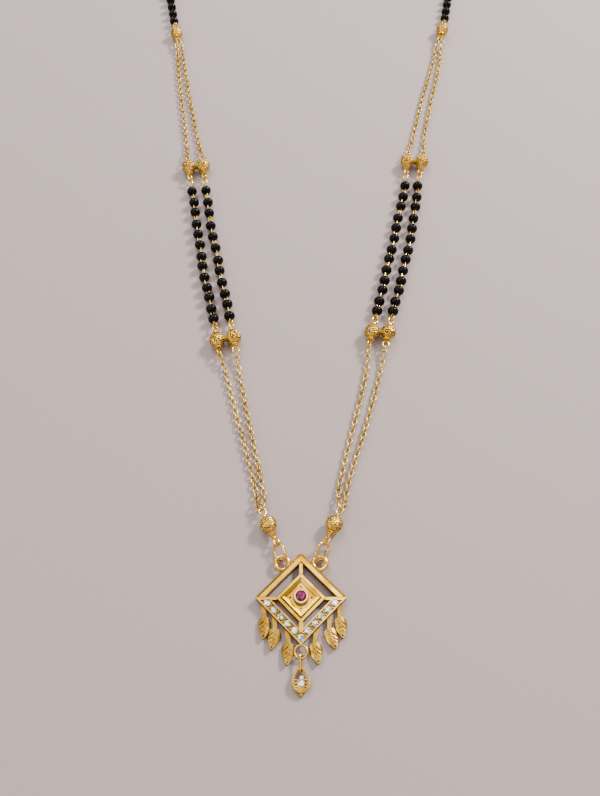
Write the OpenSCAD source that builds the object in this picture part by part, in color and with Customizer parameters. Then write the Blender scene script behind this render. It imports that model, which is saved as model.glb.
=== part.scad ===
// A mangalsutra necklace laid out flat, as one closed loop.
// The origin is the middle of the pendant's back, on the table. +X runs across the
// loop, +Y runs from the pendant towards the clasp, and +Z stands up from the table.

/* [Pendant frame] */
// Middle of the square frame to each of its corners
frame_reach = 9.3; // [9.1:0.1:9.7]
// Height of the two plain upper bars above the table
bar_h = 2.1; // [2:0.05:2.3]
// Width of each plain upper bar
bar_w = 1.45; // [1.2:0.05:1.6]
// Width of the small nick across the right upper bar
nick_w = 0.26; // [0.2:0.02:0.3]
// Length that the top corner is blunted by
tip_blunt = 0.4; // [0.2:0.05:0.6]
// Width of the slope along the outer edge of an upper bar
bar_slope_w = 0.55; // [0.4:0.05:0.7]
// Drop of that slope
bar_slope_h = 0.4; // [0.2:0.05:0.5]
// Bevel along the inner edge of an upper bar
bar_bevel = 0.15; // [0.1:0.05:0.2]
// Width of the strut along each side corner
side_strut_w = 0.55; // [0.4:0.05:0.6]
// Width of the strut between the frame and the top of the inner square
top_strut_w = 0.7; // [0.5:0.05:0.8]
// Width of the peg between the inner square and the lower corner
peg_w = 0.85; // [0.6:0.05:1]
// Height of the struts
strut_h = 1.6; // [1.4:0.05:1.7]

/* [Stone channels] */
// Width of each lower channel, over both of its rails
channel_w = 1.9; // [1.85:0.05:1.95]
// Height of the rails
rail_h = 1.8; // [1.75:0.05:1.9]
// Width of one rail
rail_w = 0.25; // [0.22:0.01:0.27]
// Height of the channel floor
channel_floor_h = 1.3; // [1.2:0.05:1.4]
// Diameter of a channel stone
small_stone_d = 1.35; // [1.25:0.1:1.35]
// Spacing of the stones along a channel
small_stone_pitch = 1.94; // [1.9:0.01:1.96]
// Radius of the grain beads between the stones
grain_r = 0.22; // [0.15:0.01:0.24]
// Clearance round a stone in its seat
seat_gap = 0.04; // [0.03:0.01:0.06]

/* [Inner square] */
// Middle of the inner square to each of its corners
inner_reach = 5.2; // [5:0.1:5.4]
// Height of its outer ledge
ledge_h = 1.45; // [1.4:0.05:1.55]
// Width of that ledge
ledge_w = 0.66; // [0.6:0.01:0.7]
// Width of the groove inside the ledge
groove_w = 0.12; // [0.1:0.01:0.15]
// Depth of the groove below the ledge
groove_depth = 0.3; // [0.2:0.05:0.35]
// Height of the raised band
band_h = 2.2; // [2.1:0.05:2.3]
// Width of the raised band
band_w = 0.68; // [0.62:0.01:0.72]
// Height of the sunk floor round the bezel
floor_h = 1.5; // [1.4:0.05:1.6]
// Radius of the four corner pits in that floor
pit_r = 0.32; // [0.26:0.01:0.34]
// Distance of the corner pits from the middle
pit_reach = 2.2; // [2.1:0.05:2.25]

/* [Bezel and red stone] */
// Diameter of the red stone
red_stone_d = 2.2; // [2:0.05:2.3]
// Thickness of the bezel wall
bezel_wall = 0.42; // [0.35:0.01:0.45]
// Height of the bezel rim
bezel_h = 2.9; // [2.8:0.05:3.1]
// Height of the red stone's girdle
red_girdle_h = 2.75; // [2.65:0.05:2.8]

/* [Loops and rings] */
// Outer diameter of the two hanging loops on the upper bars
loop_d = 3.6; // [3.5:0.05:3.7]
// Thickness of their wire
loop_wire = 0.82; // [0.74:0.02:0.86]
// Height of the loops' middle
loop_z = 1.3; // [1.25:0.05:1.4]
// Loops' middle, across from the centre line
loop_x = 3.95; // [3.9:0.05:4.1]
// Outer width of the left jump ring
jump_w_left = 3.5; // [3.4:0.05:3.6]
// Outer width of the right jump ring
jump_w_right = 3.75; // [3.6:0.05:3.8]
// Thickness of a jump ring's wire
jump_wire = 0.56; // [0.5:0.02:0.58]
// How far the jump rings lean towards the centre line
jump_in = 0.45; // [0.35:0.05:0.5]
// Roll of the left jump ring
jump_roll_left = 52; // [50:1:54]
// Roll of the right jump ring
jump_roll_right = 52; // [50:1:54]
// Outer diameter of the ring under the lower corner
tail_ring_d = 3; // [2.9:0.05:3.1]
// Thickness of its wire
tail_ring_wire = 0.47; // [0.42:0.01:0.5]
// Height of its middle
tail_ring_z = 1; // [0.95:0.05:1.05]

/* [Leaves] */
// Thickness of a leaf at its rim
leaf_rim_h = 0.55; // [0.5:0.05:0.7]
// Rise of the leaf's crown above its rim
leaf_crown = 0.65; // [0.5:0.05:0.7]
// Width of a stem
stem_w = 0.86; // [0.75:0.01:0.95]
// Height of a stem
stem_h = 0.95; // [0.8:0.05:1.1]
// Width of the carved slits
slit_w = 0.29; // [0.24:0.01:0.31]
// Radius of the raised middle vein
vein_r = 0.15; // [0.1:0.01:0.18]

/* [Drop] */
// Length of the drop's open frame
drop_len = 5.1; // [5:0.1:5.3]
// Width of the drop
drop_w = 3.8; // [3.7:0.05:3.9]
// Width of the wall at its sides
drop_wall = 0.48; // [0.44:0.01:0.5]
// Thickness of the open frame
drop_t = 0.84; // [0.75:0.01:0.88]
// Width of the step that rounds the rim of the drop
drop_step = 0.13; // [0.08:0.01:0.16]
// Thickness of the side bars that hold the stone
side_bar_d = 0.32; // [0.26:0.02:0.36]
// Diameter of the drop's round stone
drop_stone_d = 1.27; // [1.2:0.01:1.3]
// Diameter of the smaller stone above it
accent_d = 0.62; // [0.55:0.01:0.64]
// Diameter of the ball at the tip
tip_ball_d = 1; // [0.9:0.05:1.05]
// Outer length of the ring that carries the drop
drop_ring_len = 4.1; // [4.05:0.01:4.15]
// Outer width of that ring, standing on its edge
drop_ring_w = 2; // [1.98:0.01:2.06]
// Roll of that ring, away from upright
drop_ring_roll = 14; // [8:1:18]
// Thickness of its wire
drop_ring_wire = 0.44; // [0.4:0.01:0.45]

/* [Gold balls and pins] */
// Diameter of a gold ball
ball_d = 3.74; // [3.6:0.02:3.8]
// Bore through a ball
ball_bore = 1; // [0.9:0.05:1.1]
// Diameter of the solder between two balls of a pair
solder_d = 1.9; // [1.6:0.1:2]
// Diameter of a pin
pin_d = 0.5; // [0.45:0.01:0.55]
// Thickness of an eye's wire
eye_wire = 0.46; // [0.42:0.01:0.48]
// Outer length of an eye
eye_len = 2.2; // [2.15:0.01:2.25]
// Outer width of an eye
eye_w = 1.9; // [1.85:0.01:2]
// Diameter of the widest coil below a ball
coil_d = 2; // [1.8:0.05:2.1]
// Diameter of the narrowest coil
coil_tip_d = 1.2; // [1.1:0.05:1.3]
// Distance from one coil to the next
coil_pitch = 0.42; // [0.36:0.02:0.46]
// Depth of the groove between two coils
coil_groove = 0.17; // [0.1:0.01:0.2]
// Diameter of the cap above a ball
cap_d = 1.6; // [1.4:0.05:1.8]
// Thickness of the cap
cap_t = 0.44; // [0.36:0.02:0.46]
// Clearance between a ball and the coil or cap on its pin
end_gap = 0.1; // [0.05:0.01:0.12]

/* [Black beads] */
// Diameter of a bead
bead_d = 2.8; // [2.6:0.05:2.85]
// Length of a bead along its thread
bead_len = 2.15; // [2:0.05:2.25]
// Bore of a bead
bead_bore = 0.95; // [0.9:0.01:1]
// Thickness of the thread wire
thread_d = 0.44; // [0.4:0.01:0.46]
// Spacing of the beads in the single strands
bead_pitch = 3.5; // [3.4:0.02:3.6]
// Share by which beads stand wider apart towards the neck
bead_spread = 0.12; // [0:0.01:0.14]
// How far beads wander along their thread
bead_stray = 0.2; // [0:0.02:0.24]
// How far beads wander sideways
bead_sway = 0.1; // [0:0.02:0.14]

/* [Chains] */
// Overall thickness of a cable chain
chain_d = 1.3; // [1.1:0.05:1.36]
// Clearance between a chain's end and the eye that carries it
chain_gap = 0.15; // [0.1:0.01:0.2]

/* [Clasp] */
// Radius of each turn of the hook, at the middle of its wire
hook_r = 2; // [1.95:0.05:2.2]
// Thickness of the hook's wire
hook_wire = 1; // [0.9:0.05:1.1]
// Angle that each turn runs through
hook_turn = 300; // [290:1:310]
// Outer diameter of the two end rings
end_ring_d = 4; // [3.95:0.01:4.1]
// Thickness of their wire
end_ring_wire = 0.6; // [0.55:0.01:0.62]
// Roll of the end rings
end_ring_roll = 50; // [46:1:54]

/* [Hidden] */
STONE_COUNT = 11;
$fn = 48;
GOLD = [0.83, 0.66, 0.33];
BRIGHT_GOLD = [0.93, 0.78, 0.46];
BLACK = [0.05, 0.05, 0.06];
CLEAR = [0.9, 0.93, 0.95];
RED = [0.72, 0.09, 0.42];

// Leaves: root of the stem, top of the leaf, tip of the leaf, width, side of the slits
ROOT = 0;
LEAF_TOP = 1;
LEAF_TIP = 2;
LEAF_W = 3;
SLIT_SIDE = 4;
LEAVES = [
    [[-7.8, -0.9], [-7.3, -3.9], [-7.5, -8.0], 2.55, -1],
    [[-5.5, -3.2], [-5.15, -6.1], [-5.9, -10.1], 2.8, -1],
    [[-2.9, -5.8], [-2.4, -8.9], [-2.75, -13.0], 2.7, -1],
    [[3.2, -5.5], [2.7, -8.8], [3.45, -12.8], 2.75, 1],
    [[5.8, -2.9], [5.65, -6.1], [6.85, -9.9], 2.8, 1],
    [[7.9, -0.8], [7.8, -3.8], [8.35, -7.9], 2.55, 1]
];
// Outline of a leaf: share of its length, share of its half width
LEAF_OUTLINE = [
    [0, 0.35], [0.03, 0.6], [0.12, 0.88], [0.25, 1], [0.4, 0.98],
    [0.58, 0.83], [0.76, 0.58], [0.9, 0.34], [1, 0.12]
];
// Carved slits: share of the leaf's length where one starts, its length, its depth, its side
SLIT_AT = 0;
SLIT_LEN = 1;
SLIT_DEPTH = 2;
SLIT_TURN = 3;
SLITS = [
    [0.2, 1.35, 0.6, 1], [0.43, 1.15, 0.55, 1], [0.64, 0.75, 0.35, 1],
    [0.28, 1.15, 0.34, -1], [0.5, 0.9, 0.32, -1], [0.69, 0.55, 0.26, -1]
];

// The nick across the right upper bar: its middle, its length, its turn
NICK = [[5.4, 3.35], 1.2, 12];

// Balls: middle, heading of the pin towards the neck
PLACE = 0;
HEADING = 1;
LOW_LEFT = [[-6.95, 15.3], 114.4];
LOW_RIGHT = [[7.1, 15.5], 65.6];
MIDDLE_LEFT_OUTER = [[-20.25, 61.7], 101];
MIDDLE_LEFT_INNER = [[-16.35, 62.5], 101];
MIDDLE_RIGHT_INNER = [[17.35, 64.1], 76.5];
MIDDLE_RIGHT_OUTER = [[21.3, 64], 76.5];
UPPER_LEFT_OUTER = [[-31.1, 118.6], 99.5];
UPPER_LEFT_INNER = [[-27.1, 119], 98];
UPPER_RIGHT_INNER = [[29.7, 120.7], 82.5];
UPPER_RIGHT_OUTER = [[33.75, 120.5], 78.5];
TOP_LEFT = [[-38.9, 175.7], 102];
TOP_RIGHT = [[44.5, 177.1], 77];

// Pins: middle of a ball to the middle of the eye below it and of the eye above it
LOW_PIN = [4.2, 3.15];
MIDDLE_PIN = [3.6, 3.4];
UPPER_PIN = [4.1, 3.15];
TOP_PIN = [3.6, 3.15];

// Routes of the chains and strings between their ends, on the table
ROUTES = [
    ["lower_chain_left_outer", [[-17.8, 53], [-14.7, 41.2], [-11.4, 29.5], [-9.6, 21.5]]],
    ["lower_chain_left_inner", [[-14.2, 51], [-11.9, 40], [-9.5, 29], [-7.9, 21.5]]],
    ["lower_chain_right_inner", [[15.5, 53], [12.3, 40], [9.6, 29.5], [8, 22]]],
    ["lower_chain_right_outer", [[18.4, 51.5], [14.9, 39], [11.6, 29], [9.8, 22]]],
    ["upper_chain_left_outer", [[-37.4, 161], [-35.1, 145], [-32.6, 129]]],
    ["upper_chain_left_inner", [[-35.5, 161], [-32.5, 145], [-29.2, 129]]],
    ["upper_chain_right_inner", [[40, 161], [35.8, 146], [31.9, 130]]],
    ["upper_chain_right_outer", [[42.2, 161], [38.6, 146], [35.4, 131]]],
    ["beads_left_outer", [[-27.5, 98], [-25, 83.5]]],
    ["beads_left_inner", [[-23.8, 98], [-20.8, 83.5]]],
    ["beads_right_inner", [[25.7, 99], [22.2, 84]]],
    ["beads_right_outer", [[29.9, 99], [26.5, 84]]],
    ["back_beads_left", [
        [-42.3, 193], [-44.7, 205], [-46.6, 217], [-47.2, 230], [-44.8, 243], [-38.2, 254],
        [-28, 263], [-16, 268.4]
    ]],
    ["back_beads_right", [
        [47.8, 193], [50.3, 205], [52.2, 217], [52.8, 230], [50.4, 243], [43.8, 254],
        [33.6, 263], [22, 268.4]
    ]]
];
CLASP_PLACE = [3, 271];

// Shapes worked out from the sizes
side_out = frame_reach / sqrt(2);
channel_mid = side_out - channel_w / 2;
seat_d = small_stone_d + 2 * seat_gap;
loop_ring_r = (loop_d - loop_wire) / 2;
loop_y = frame_reach - loop_x + loop_d / 2;
ball_r = ball_d / 2;
bead_r = bead_d / 2;
chain_r = chain_d / 2;
rest_lift = 0.02;
bead_z = bead_r;
chain_z = chain_r + rest_lift;
tail_ring_y = -(frame_reach + tail_ring_d / 2 - tail_ring_wire / 2 - 0.03);
drop_ring_start = tail_ring_y - 0.3;
drop_top = drop_ring_start - drop_ring_len + drop_ring_wire + 1.25;
drop_ring_z = drop_ring_w / 2 + rest_lift;
hang_gap = 0.08;
drop_low = rest_lift + drop_ring_wire + hang_gap;
drop_high = drop_low + drop_t;
clasp_z = end_ring_d / 2 * sin(end_ring_roll) + end_ring_wire / 2;

function turn(a) = [cos(a), sin(a)];
function lift(p, z) = [p[0], p[1], z];
function unit(v) = v / norm(v);
function mix(a, b, t) = a + (b - a) * t;
function reversed(p) = [for (i = [len(p) - 1:-1:0]) p[i]];
function route(name) = ROUTES[search([name], ROUTES)[0]][1];
// A point on the pin's line, a distance from the ball's middle towards the neck
function on_pin(ball, d) = ball[PLACE] + d * turn(ball[HEADING]);

// A smooth curve through chosen points, with n steps from each one to the next
function bend(a, b, c, d, t) =
    0.5 * (2 * b + (c - a) * t + (2 * a - 5 * b + 4 * c - d) * t * t
    + (3 * b - a - 3 * c + d) * t * t * t);
function smooth(p, n) = concat(
    [for (i = [0:len(p) - 2]) for (k = [0:n - 1])
        bend(p[max(i - 1, 0)], p[i], p[i + 1], p[min(i + 2, len(p) - 1)], k / n)],
    [p[len(p) - 1]]
);
// Distance run at each point of a line
function run(p) = [
    for (i = 0, s = 0; i < len(p); i = i + 1, s = i < len(p) ? s + norm(p[i] - p[i - 1]) : s) s
];
// The point of a line where a given distance has been run
function along(p, runs, s) = let (
    k = min(max(len([for (r = runs) if (r <= s) 1]) - 1, 0), len(p) - 2)
) mix(p[k], p[k + 1], (s - runs[k]) / (runs[k + 1] - runs[k]));

// Round tube swept along a line of points, with its ends closed
function tangents(p) = [
    for (i = [0:len(p) - 1]) unit(p[min(i + 1, len(p) - 1)] - p[max(i - 1, 0)])
];
function square_to(n, t) = unit(n - (n * t) * t);
function normals(t) = [
    for (i = 0, n = square_to([0, 0, 1] + 0.01 * [1, 1, 0], t[0]); i < len(t);
        i = i + 1, n = i < len(t) ? square_to(n, t[i]) : n) n
];
module tube(p, r, sides = 8) {
    t = tangents(p);
    n = normals(t);
    last = (len(p) - 1) * sides;
    points = [for (i = [0:len(p) - 1]) for (k = [0:sides - 1])
        p[i] + r * (cos(360 * k / sides) * n[i] + sin(360 * k / sides) * cross(t[i], n[i]))];
    side_faces = [for (i = [0:len(p) - 2]) for (k = [0:sides - 1]) each let (
        a = i * sides + k,
        b = i * sides + (k + 1) % sides
    ) [[a, a + sides, b], [b, a + sides, b + sides]]];
    near_end = [for (k = [1:sides - 2]) [0, k, k + 1]];
    far_end = [for (k = [1:sides - 2]) [last, last + k + 1, last + k]];
    polyhedron(points, concat(side_faces, near_end, far_end));
}

// Ring of round wire in the XY plane, drawn out along X to a given outer length. Its
// straight sides are a whole number of fiftieths long, so that they meet the bends exactly.
module oval_ring(length, width, wire) {
    mid_r = (width - wire) / 2;
    straight = round(50 * (length - width)) / 50;
    for (s = [-1, 1]) {
        translate([s * straight / 2, 0, 0]) rotate([0, 0, -s * 90])
            rotate_extrude(angle = 180) translate([mid_r, 0]) circle(d = wire);
        if (straight > 0.01)
            translate([-straight / 2, s * mid_r, 0]) rotate([0, 90, 0])
                cylinder(d = wire, h = straight);
    }
}

module round_ring(outer, wire) {
    rotate_extrude() translate([(outer - wire) / 2, 0]) circle(d = wire);
}

// Puts the X axis on a line between two points, rolled about it
module between(a, b, roll) {
    v = b - a;
    translate((a + b) / 2) rotate([0, 0, atan2(v[1], v[0])])
        rotate([0, -asin(v[2] / norm(v)), 0]) rotate([roll, 0, 0]) children();
}

// Puts the X axis on a ball's pin, with the ball's middle at the origin
module at_ball(ball) {
    translate(lift(ball[PLACE], ball_r)) rotate([0, 0, ball[HEADING]]) children();
}

// Cut stone with its girdle at height 0: a flat table, a faceted crown and a pavilion
module cut_stone(d) {
    r = d / 2;
    crown = 0.16 * d;
    half_girdle = 0.02 * d;
    table_r = 0.58 * r;
    depth = 0.43 * d;
    table = [for (k = [0:7]) lift(table_r * turn(45 * k), crown)];
    upper = [for (k = [0:15]) lift(r * turn(22.5 * k), half_girdle)];
    lower = [for (k = [0:15]) lift(r * turn(22.5 * k), -half_girdle)];
    faces = concat(
        [[for (k = [7:-1:0]) k]],
        [for (k = [0:7]) [k, (k + 1) % 8, 8 + 2 * k + 1]],
        [for (k = [0:7]) [k, 8 + 2 * k + 1, 8 + 2 * k]],
        [for (k = [0:7]) [(k + 1) % 8, 8 + (2 * k + 2) % 16, 8 + 2 * k + 1]],
        [for (k = [0:15]) each [
            [8 + k, 8 + (k + 1) % 16, 24 + k],
            [8 + (k + 1) % 16, 24 + (k + 1) % 16, 24 + k]
        ]],
        [for (k = [0:15]) [24 + k, 24 + (k + 1) % 16, 40]]
    );
    polyhedron(concat(table, upper, lower, [[0, 0, -depth]]), faces);
}

// One quarter of a square ring, from its section: distance out from the middle, height
module quarter_bar(section) {
    intersection() {
        rotate([0, 0, 45]) rotate([90, 0, 0])
            linear_extrude(4 * frame_reach, center = true) polygon(section);
        translate([0, 0, -1]) cube([2 * frame_reach, 2 * frame_reach, 4 * bar_h]);
    }
}

module upper_bars() intersection() {
    near = side_out - bar_w;
    section = [
        [near, 0], [side_out, 0], [side_out, bar_h - bar_slope_h], [side_out - bar_slope_w, bar_h],
        [near + bar_bevel, bar_h], [near, bar_h - bar_bevel]
    ];
    union() for (s = [0, 1]) mirror([s, 0, 0]) quarter_bar(section);
    translate([-2 * frame_reach, -frame_reach, -1])
        cube([4 * frame_reach, 2 * frame_reach - tip_blunt, 4 * bar_h]);
}

module lower_channels() {
    near = side_out - channel_w;
    section = [
        [near, 0], [side_out, 0], [side_out, rail_h], [side_out - rail_w, rail_h],
        [side_out - rail_w, channel_floor_h], [near + rail_w, channel_floor_h],
        [near + rail_w, rail_h], [near, rail_h]
    ];
    for (s = [0, 1]) mirror([s, 0, 0]) mirror([0, 1, 0]) quarter_bar(section);
}

module inner_square() {
    edge = inner_reach / sqrt(2);
    bevel = 0.14;
    ledge_in = edge - ledge_w;
    band_out = ledge_in - groove_w;
    band_in = band_out - band_w;
    section = [
        [0, 0], [edge, 0], [edge, ledge_h - bevel], [edge - bevel, ledge_h], [ledge_in, ledge_h],
        [ledge_in, ledge_h - groove_depth], [band_out, ledge_h - groove_depth],
        [band_out, band_h - bevel], [band_out - bevel, band_h], [band_in, band_h - 1.5 * bevel],
        [band_in, floor_h], [0, floor_h]
    ];
    for (s = [0, 1]) for (t = [0, 1]) mirror([s, 0, 0]) mirror([0, t, 0]) quarter_bar(section);
}

module bezel() {
    out_r = red_stone_d / 2 + seat_gap + bezel_wall;
    lip = bezel_wall / 3;
    rotate_extrude() polygon([
        [0, floor_h / 2], [out_r, floor_h / 2], [out_r, bezel_h - lip], [out_r - lip, bezel_h],
        [0, bezel_h]
    ]);
}

module struts() {
    inside = inner_reach - 0.3;
    translate([-top_strut_w / 2, inside, 0])
        cube([top_strut_w, frame_reach - sqrt(2) * bar_w + 0.3 - inside, strut_h]);
    translate([-peg_w / 2, -(frame_reach - sqrt(2) * channel_w + 0.3), 0])
        cube([peg_w, frame_reach - sqrt(2) * channel_w + 0.3 - inside, strut_h]);
    intersection() {
        for (s = [0, 1]) mirror([s, 0, 0]) translate([inside, -side_strut_w, 0])
            cube([frame_reach, side_strut_w, rail_h]);
        linear_extrude(3 * bar_h) square_outline(frame_reach);
    }
}

module square_outline(reach) {
    polygon([[reach, 0], [0, reach], [-reach, 0], [0, -reach]]);
}

// Middle of channel stone i, counted from the left end round the lower corner
function stone_place(i) = let (
    k = i - (STONE_COUNT + 1) / 2,
    step = small_stone_pitch / sqrt(2)
) [k * step, abs(k) * step - sqrt(2) * channel_mid];

small_girdle_h = rail_h - 0.12;
function stone_depth(d) = 0.43 * d;

module stone_seats() {
    for (i = [1:STONE_COUNT])
        translate(lift(stone_place(i), small_girdle_h - stone_depth(small_stone_d) - seat_gap))
            cylinder(d = seat_d, h = bar_h);
    translate([0, 0, red_girdle_h - stone_depth(red_stone_d) - seat_gap])
        cylinder(d = red_stone_d + 2 * seat_gap, h = 2 * bar_h);
    for (k = [0:3]) rotate([0, 0, 90 * k]) translate([pit_reach, 0, floor_h / 2])
        cylinder(r = pit_r, h = bar_h, $fn = 3);
}

module grain_beads() {
    aside = channel_w / 2 - rail_w - grain_r - seat_gap;
    for (s = [45, 135]) translate([0, -sqrt(2) * channel_mid, channel_floor_h + grain_r / 2])
        rotate([0, 0, s]) for (j = [0.5:1:4.5]) for (t = [-1, 1])
            translate([j * small_stone_pitch, t * aside, 0]) sphere(r = grain_r);
}

// Puts the X axis on a line in the plane of the table, from its first point
module on_line(a, b) {
    translate(lift(a, 0)) rotate([0, 0, atan2(b[1] - a[1], b[0] - a[0])]) children();
}

module leaf_body(length, width) {
    top = leaf_rim_h + leaf_crown;
    half = width / 2;
    dome_r = (half * half + leaf_crown * leaf_crown) / (2 * leaf_crown);
    intersection() {
        linear_extrude(top) polygon(concat(
            [for (p = LEAF_OUTLINE) [p[0] * length, p[1] * half]],
            [for (p = reversed(LEAF_OUTLINE)) [p[0] * length, -p[1] * half]]
        ));
        translate([-length, 0, top - dome_r]) rotate([0, 90, 0]) cylinder(r = dome_r, h = 3 * length);
    }
    translate([0.04 * length, 0, top - 0.04]) rotate([0, 90, 0]) cylinder(r = vein_r, h = 0.9 * length);
}

module leaf(row) {
    length = norm(row[LEAF_TIP] - row[LEAF_TOP]);
    stem_len = norm(row[LEAF_TOP] - row[ROOT]);
    top = leaf_rim_h + leaf_crown;
    side = row[SLIT_SIDE];
    on_line(row[ROOT], row[LEAF_TOP]) linear_extrude(stem_h) polygon([
        [0, -0.6 * stem_w], [stem_len + 0.35, -0.42 * stem_w],
        [stem_len + 0.35, 0.42 * stem_w], [0, 0.6 * stem_w]
    ]);
    on_line(row[LEAF_TOP], row[LEAF_TIP]) difference() {
        leaf_body(length, row[LEAF_W]);
        for (s = SLITS)
            translate([s[SLIT_AT] * length, side * s[SLIT_TURN] * (vein_r + 0.06), top - s[SLIT_DEPTH]])
                rotate([0, 0, side * s[SLIT_TURN] * 38]) translate([0, -slit_w / 2, 0])
                    cube([s[SLIT_LEN], slit_w, top]);
        translate([0.9 * length, 0, leaf_rim_h / 2]) cylinder(r = vein_r + 0.03, h = top);
    }
}

module pendant_frame() color(GOLD) difference() {
    union() {
        upper_bars();
        lower_channels();
        inner_square();
        bezel();
        struts();
        grain_beads();
        for (s = [0, 1]) mirror([s, 0, 0])
            translate([loop_x, loop_y, loop_z]) round_ring(loop_d, loop_wire);
        translate([0, tail_ring_y, tail_ring_z]) round_ring(tail_ring_d, tail_ring_wire);
        translate([-top_strut_w / 2, -frame_reach - 0.15, tail_ring_z - tail_ring_wire])
            cube([top_strut_w, 0.8, 2 * tail_ring_wire]);
        for (row = LEAVES) leaf(row);
    }
    stone_seats();
    translate(lift(NICK[0], bar_h - bar_slope_h / 3)) rotate([0, 0, NICK[2]])
        rotate([0, 90, 0]) cylinder(d = nick_w, h = NICK[1], center = true);
}

module red_stone() color(RED) translate([0, 0, red_girdle_h]) cut_stone(red_stone_d);

module channel_stone(i) color(CLEAR)
    translate(lift(stone_place(i), small_girdle_h)) rotate([0, 0, 11 * i]) cut_stone(small_stone_d);

// Outline of the drop, hanging down from the origin with a point at each end
function drop_half(u) = u <= 0 || u >= 1 ? 0 : pow(sin(180 * pow(u, 1.2)), 0.6);
module drop_outline(width, length) {
    steps = 12;
    polygon(concat(
        [for (i = [0:steps]) [width / 2 * drop_half(i / steps), -length * i / steps]],
        [for (i = [steps - 1:-1:1]) [-width / 2 * drop_half(i / steps), -length * i / steps]]
    ));
}
drop_stone_y = -0.62 * drop_len;
accent_place = [0.12, drop_stone_y + (drop_stone_d + accent_d) / 2 + 0.1];
cup_wall = 0.16;
cup_h = drop_high - 0.35;
drop_girdle_h = cup_h + 0.12;
accent_girdle_h = cup_h + 0.05;

module below_line(y) {
    translate([-drop_w, y - 2 * drop_len]) square([2 * drop_w, 2 * drop_len]);
}

// The drop's outline, drawn in on all sides
module inset_outline(inset)
    translate([0, -inset]) drop_outline(drop_w - 2 * inset, drop_len - 2 * inset);

// One layer of the rim, drawn in from both of its edges
module rim_layer(low, high, inset) translate([0, 0, low]) linear_extrude(high - low) difference() {
    inset_outline(inset);
    translate([0, inset - 0.5])
        drop_outline(drop_w - 2 * drop_wall + 2 * inset, 0.8 * drop_len + 2 * inset);
}

// One layer of the drop's full lower end, drawn in from its edge
module lower_layer(high, inset) linear_extrude(high) intersection() {
    inset_outline(inset);
    below_line(drop_stone_y - drop_stone_d / 2 - 0.22 - inset);
}

module drop_frame() color(GOLD) translate([0, drop_top, 0]) difference() {
    union() {
        rim_layer(drop_low, drop_high - 0.22, 0);
        rim_layer(drop_high - 0.3, drop_high, drop_step);
        linear_extrude(cup_h) intersection() {
            drop_outline(drop_w, drop_len);
            below_line(drop_stone_y - 0.3 * drop_stone_d);
        }
        lower_layer(drop_high - 0.32, 0);
        lower_layer(drop_high - 0.1, drop_step + 0.05);
        translate([0, drop_stone_y, 0]) cylinder(d = drop_stone_d + 2 * cup_wall, h = cup_h);
        translate(lift(accent_place, 0)) cylinder(d = accent_d + 2 * cup_wall, h = cup_h);
        for (s = [-1, 1]) for (k = [-1:1])
            translate([s * drop_stone_d / 2, drop_stone_y + 0.63 * k, cup_h + side_bar_d / 4])
                rotate([0, s * 90, 0])
                    cylinder(d = side_bar_d, h = (drop_w - drop_stone_d - drop_wall) / 2);
        translate([0, -drop_len - 0.1, tip_ball_d / 2 + rest_lift]) sphere(d = tip_ball_d);
    }
    translate([0, drop_stone_y, drop_girdle_h - stone_depth(drop_stone_d) - seat_gap])
        cylinder(d = drop_stone_d + 2 * seat_gap, h = bar_h);
    translate(lift(accent_place, accent_girdle_h - stone_depth(accent_d) - seat_gap))
        cylinder(d = accent_d + 2 * seat_gap, h = bar_h);
}

module drop_stone() color(CLEAR)
    translate([0, drop_top + drop_stone_y, drop_girdle_h]) cut_stone(drop_stone_d);

module drop_accent_stone() color(CLEAR)
    translate([accent_place[0], drop_top + accent_place[1], accent_girdle_h]) cut_stone(accent_d);

module drop_ring() color(BRIGHT_GOLD)
    translate([0, drop_ring_start - (drop_ring_len - drop_ring_wire) / 2, drop_ring_z])
        rotate([0, 0, 90]) rotate([90 - drop_ring_roll, 0, 0])
            oval_ring(drop_ring_len, drop_ring_w, drop_ring_wire);

// Ring from a hanging loop of the pendant to the lower eye of a low pin
module jump_ring(side, ball, width, roll) {
    loop = [side * (loop_x - jump_in), loop_y, loop_z];
    eye = lift(on_pin(ball, -LOW_PIN[0]), ball_r);
    ahead = unit(eye - loop);
    a = loop + (loop_ring_r - loop_wire / 2 - jump_wire / 2 - end_gap - 0.1) * ahead;
    b = eye - 0.3 * ahead;
    long = norm(b - a) + jump_wire;
    color(BRIGHT_GOLD) between(a, b, side * roll) oval_ring(long, width, jump_wire);
}
module jump_ring_left() jump_ring(-1, LOW_LEFT, jump_w_left, jump_roll_left);
module jump_ring_right() jump_ring(1, LOW_RIGHT, jump_w_right, jump_roll_right);

// Where the flat of a coil or cap starts, outward from a ball's middle
seat_out = sqrt(ball_r * ball_r - ball_bore * ball_bore / 4) + end_gap;

module drilled_ball(ball) at_ball(ball) rotate([0, 90, 0]) difference() {
    sphere(d = ball_d);
    cylinder(d = ball_bore, h = 2 * ball_d, center = true);
}

// Two balls soldered side by side, each drilled along its own pin
module ball_pair(first, second) color(GOLD) difference() {
    a = lift(first[PLACE], ball_r);
    b = lift(second[PLACE], ball_r);
    union() {
        for (ball = [first, second]) at_ball(ball) rotate([0, 90, 0]) sphere(d = ball_d);
        between(a, b, 0) rotate([0, 90, 0]) cylinder(d = solder_d, h = ball_r, center = true);
    }
    for (ball = [first, second]) at_ball(ball) rotate([0, 90, 0])
        cylinder(d = ball_bore, h = 2 * ball_d, center = true);
}

// Ribs of the wire coiled round a pin, as distances out and along from its wide end
function coil_ribs(length) = let (
    turns = max(round(length / coil_pitch), 1),
    pitch = length / turns
) [for (j = [0:turns - 1]) for (p = [[0, 1], [0.2, 0.25], [0.5, 0], [0.8, 0.25], [1, 1]])
    [mix(coil_d, coil_tip_d, turns > 1 ? j / (turns - 1) : 0) / 2 - coil_groove * p[1],
        (j + p[0] * 0.98) * pitch]];

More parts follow.
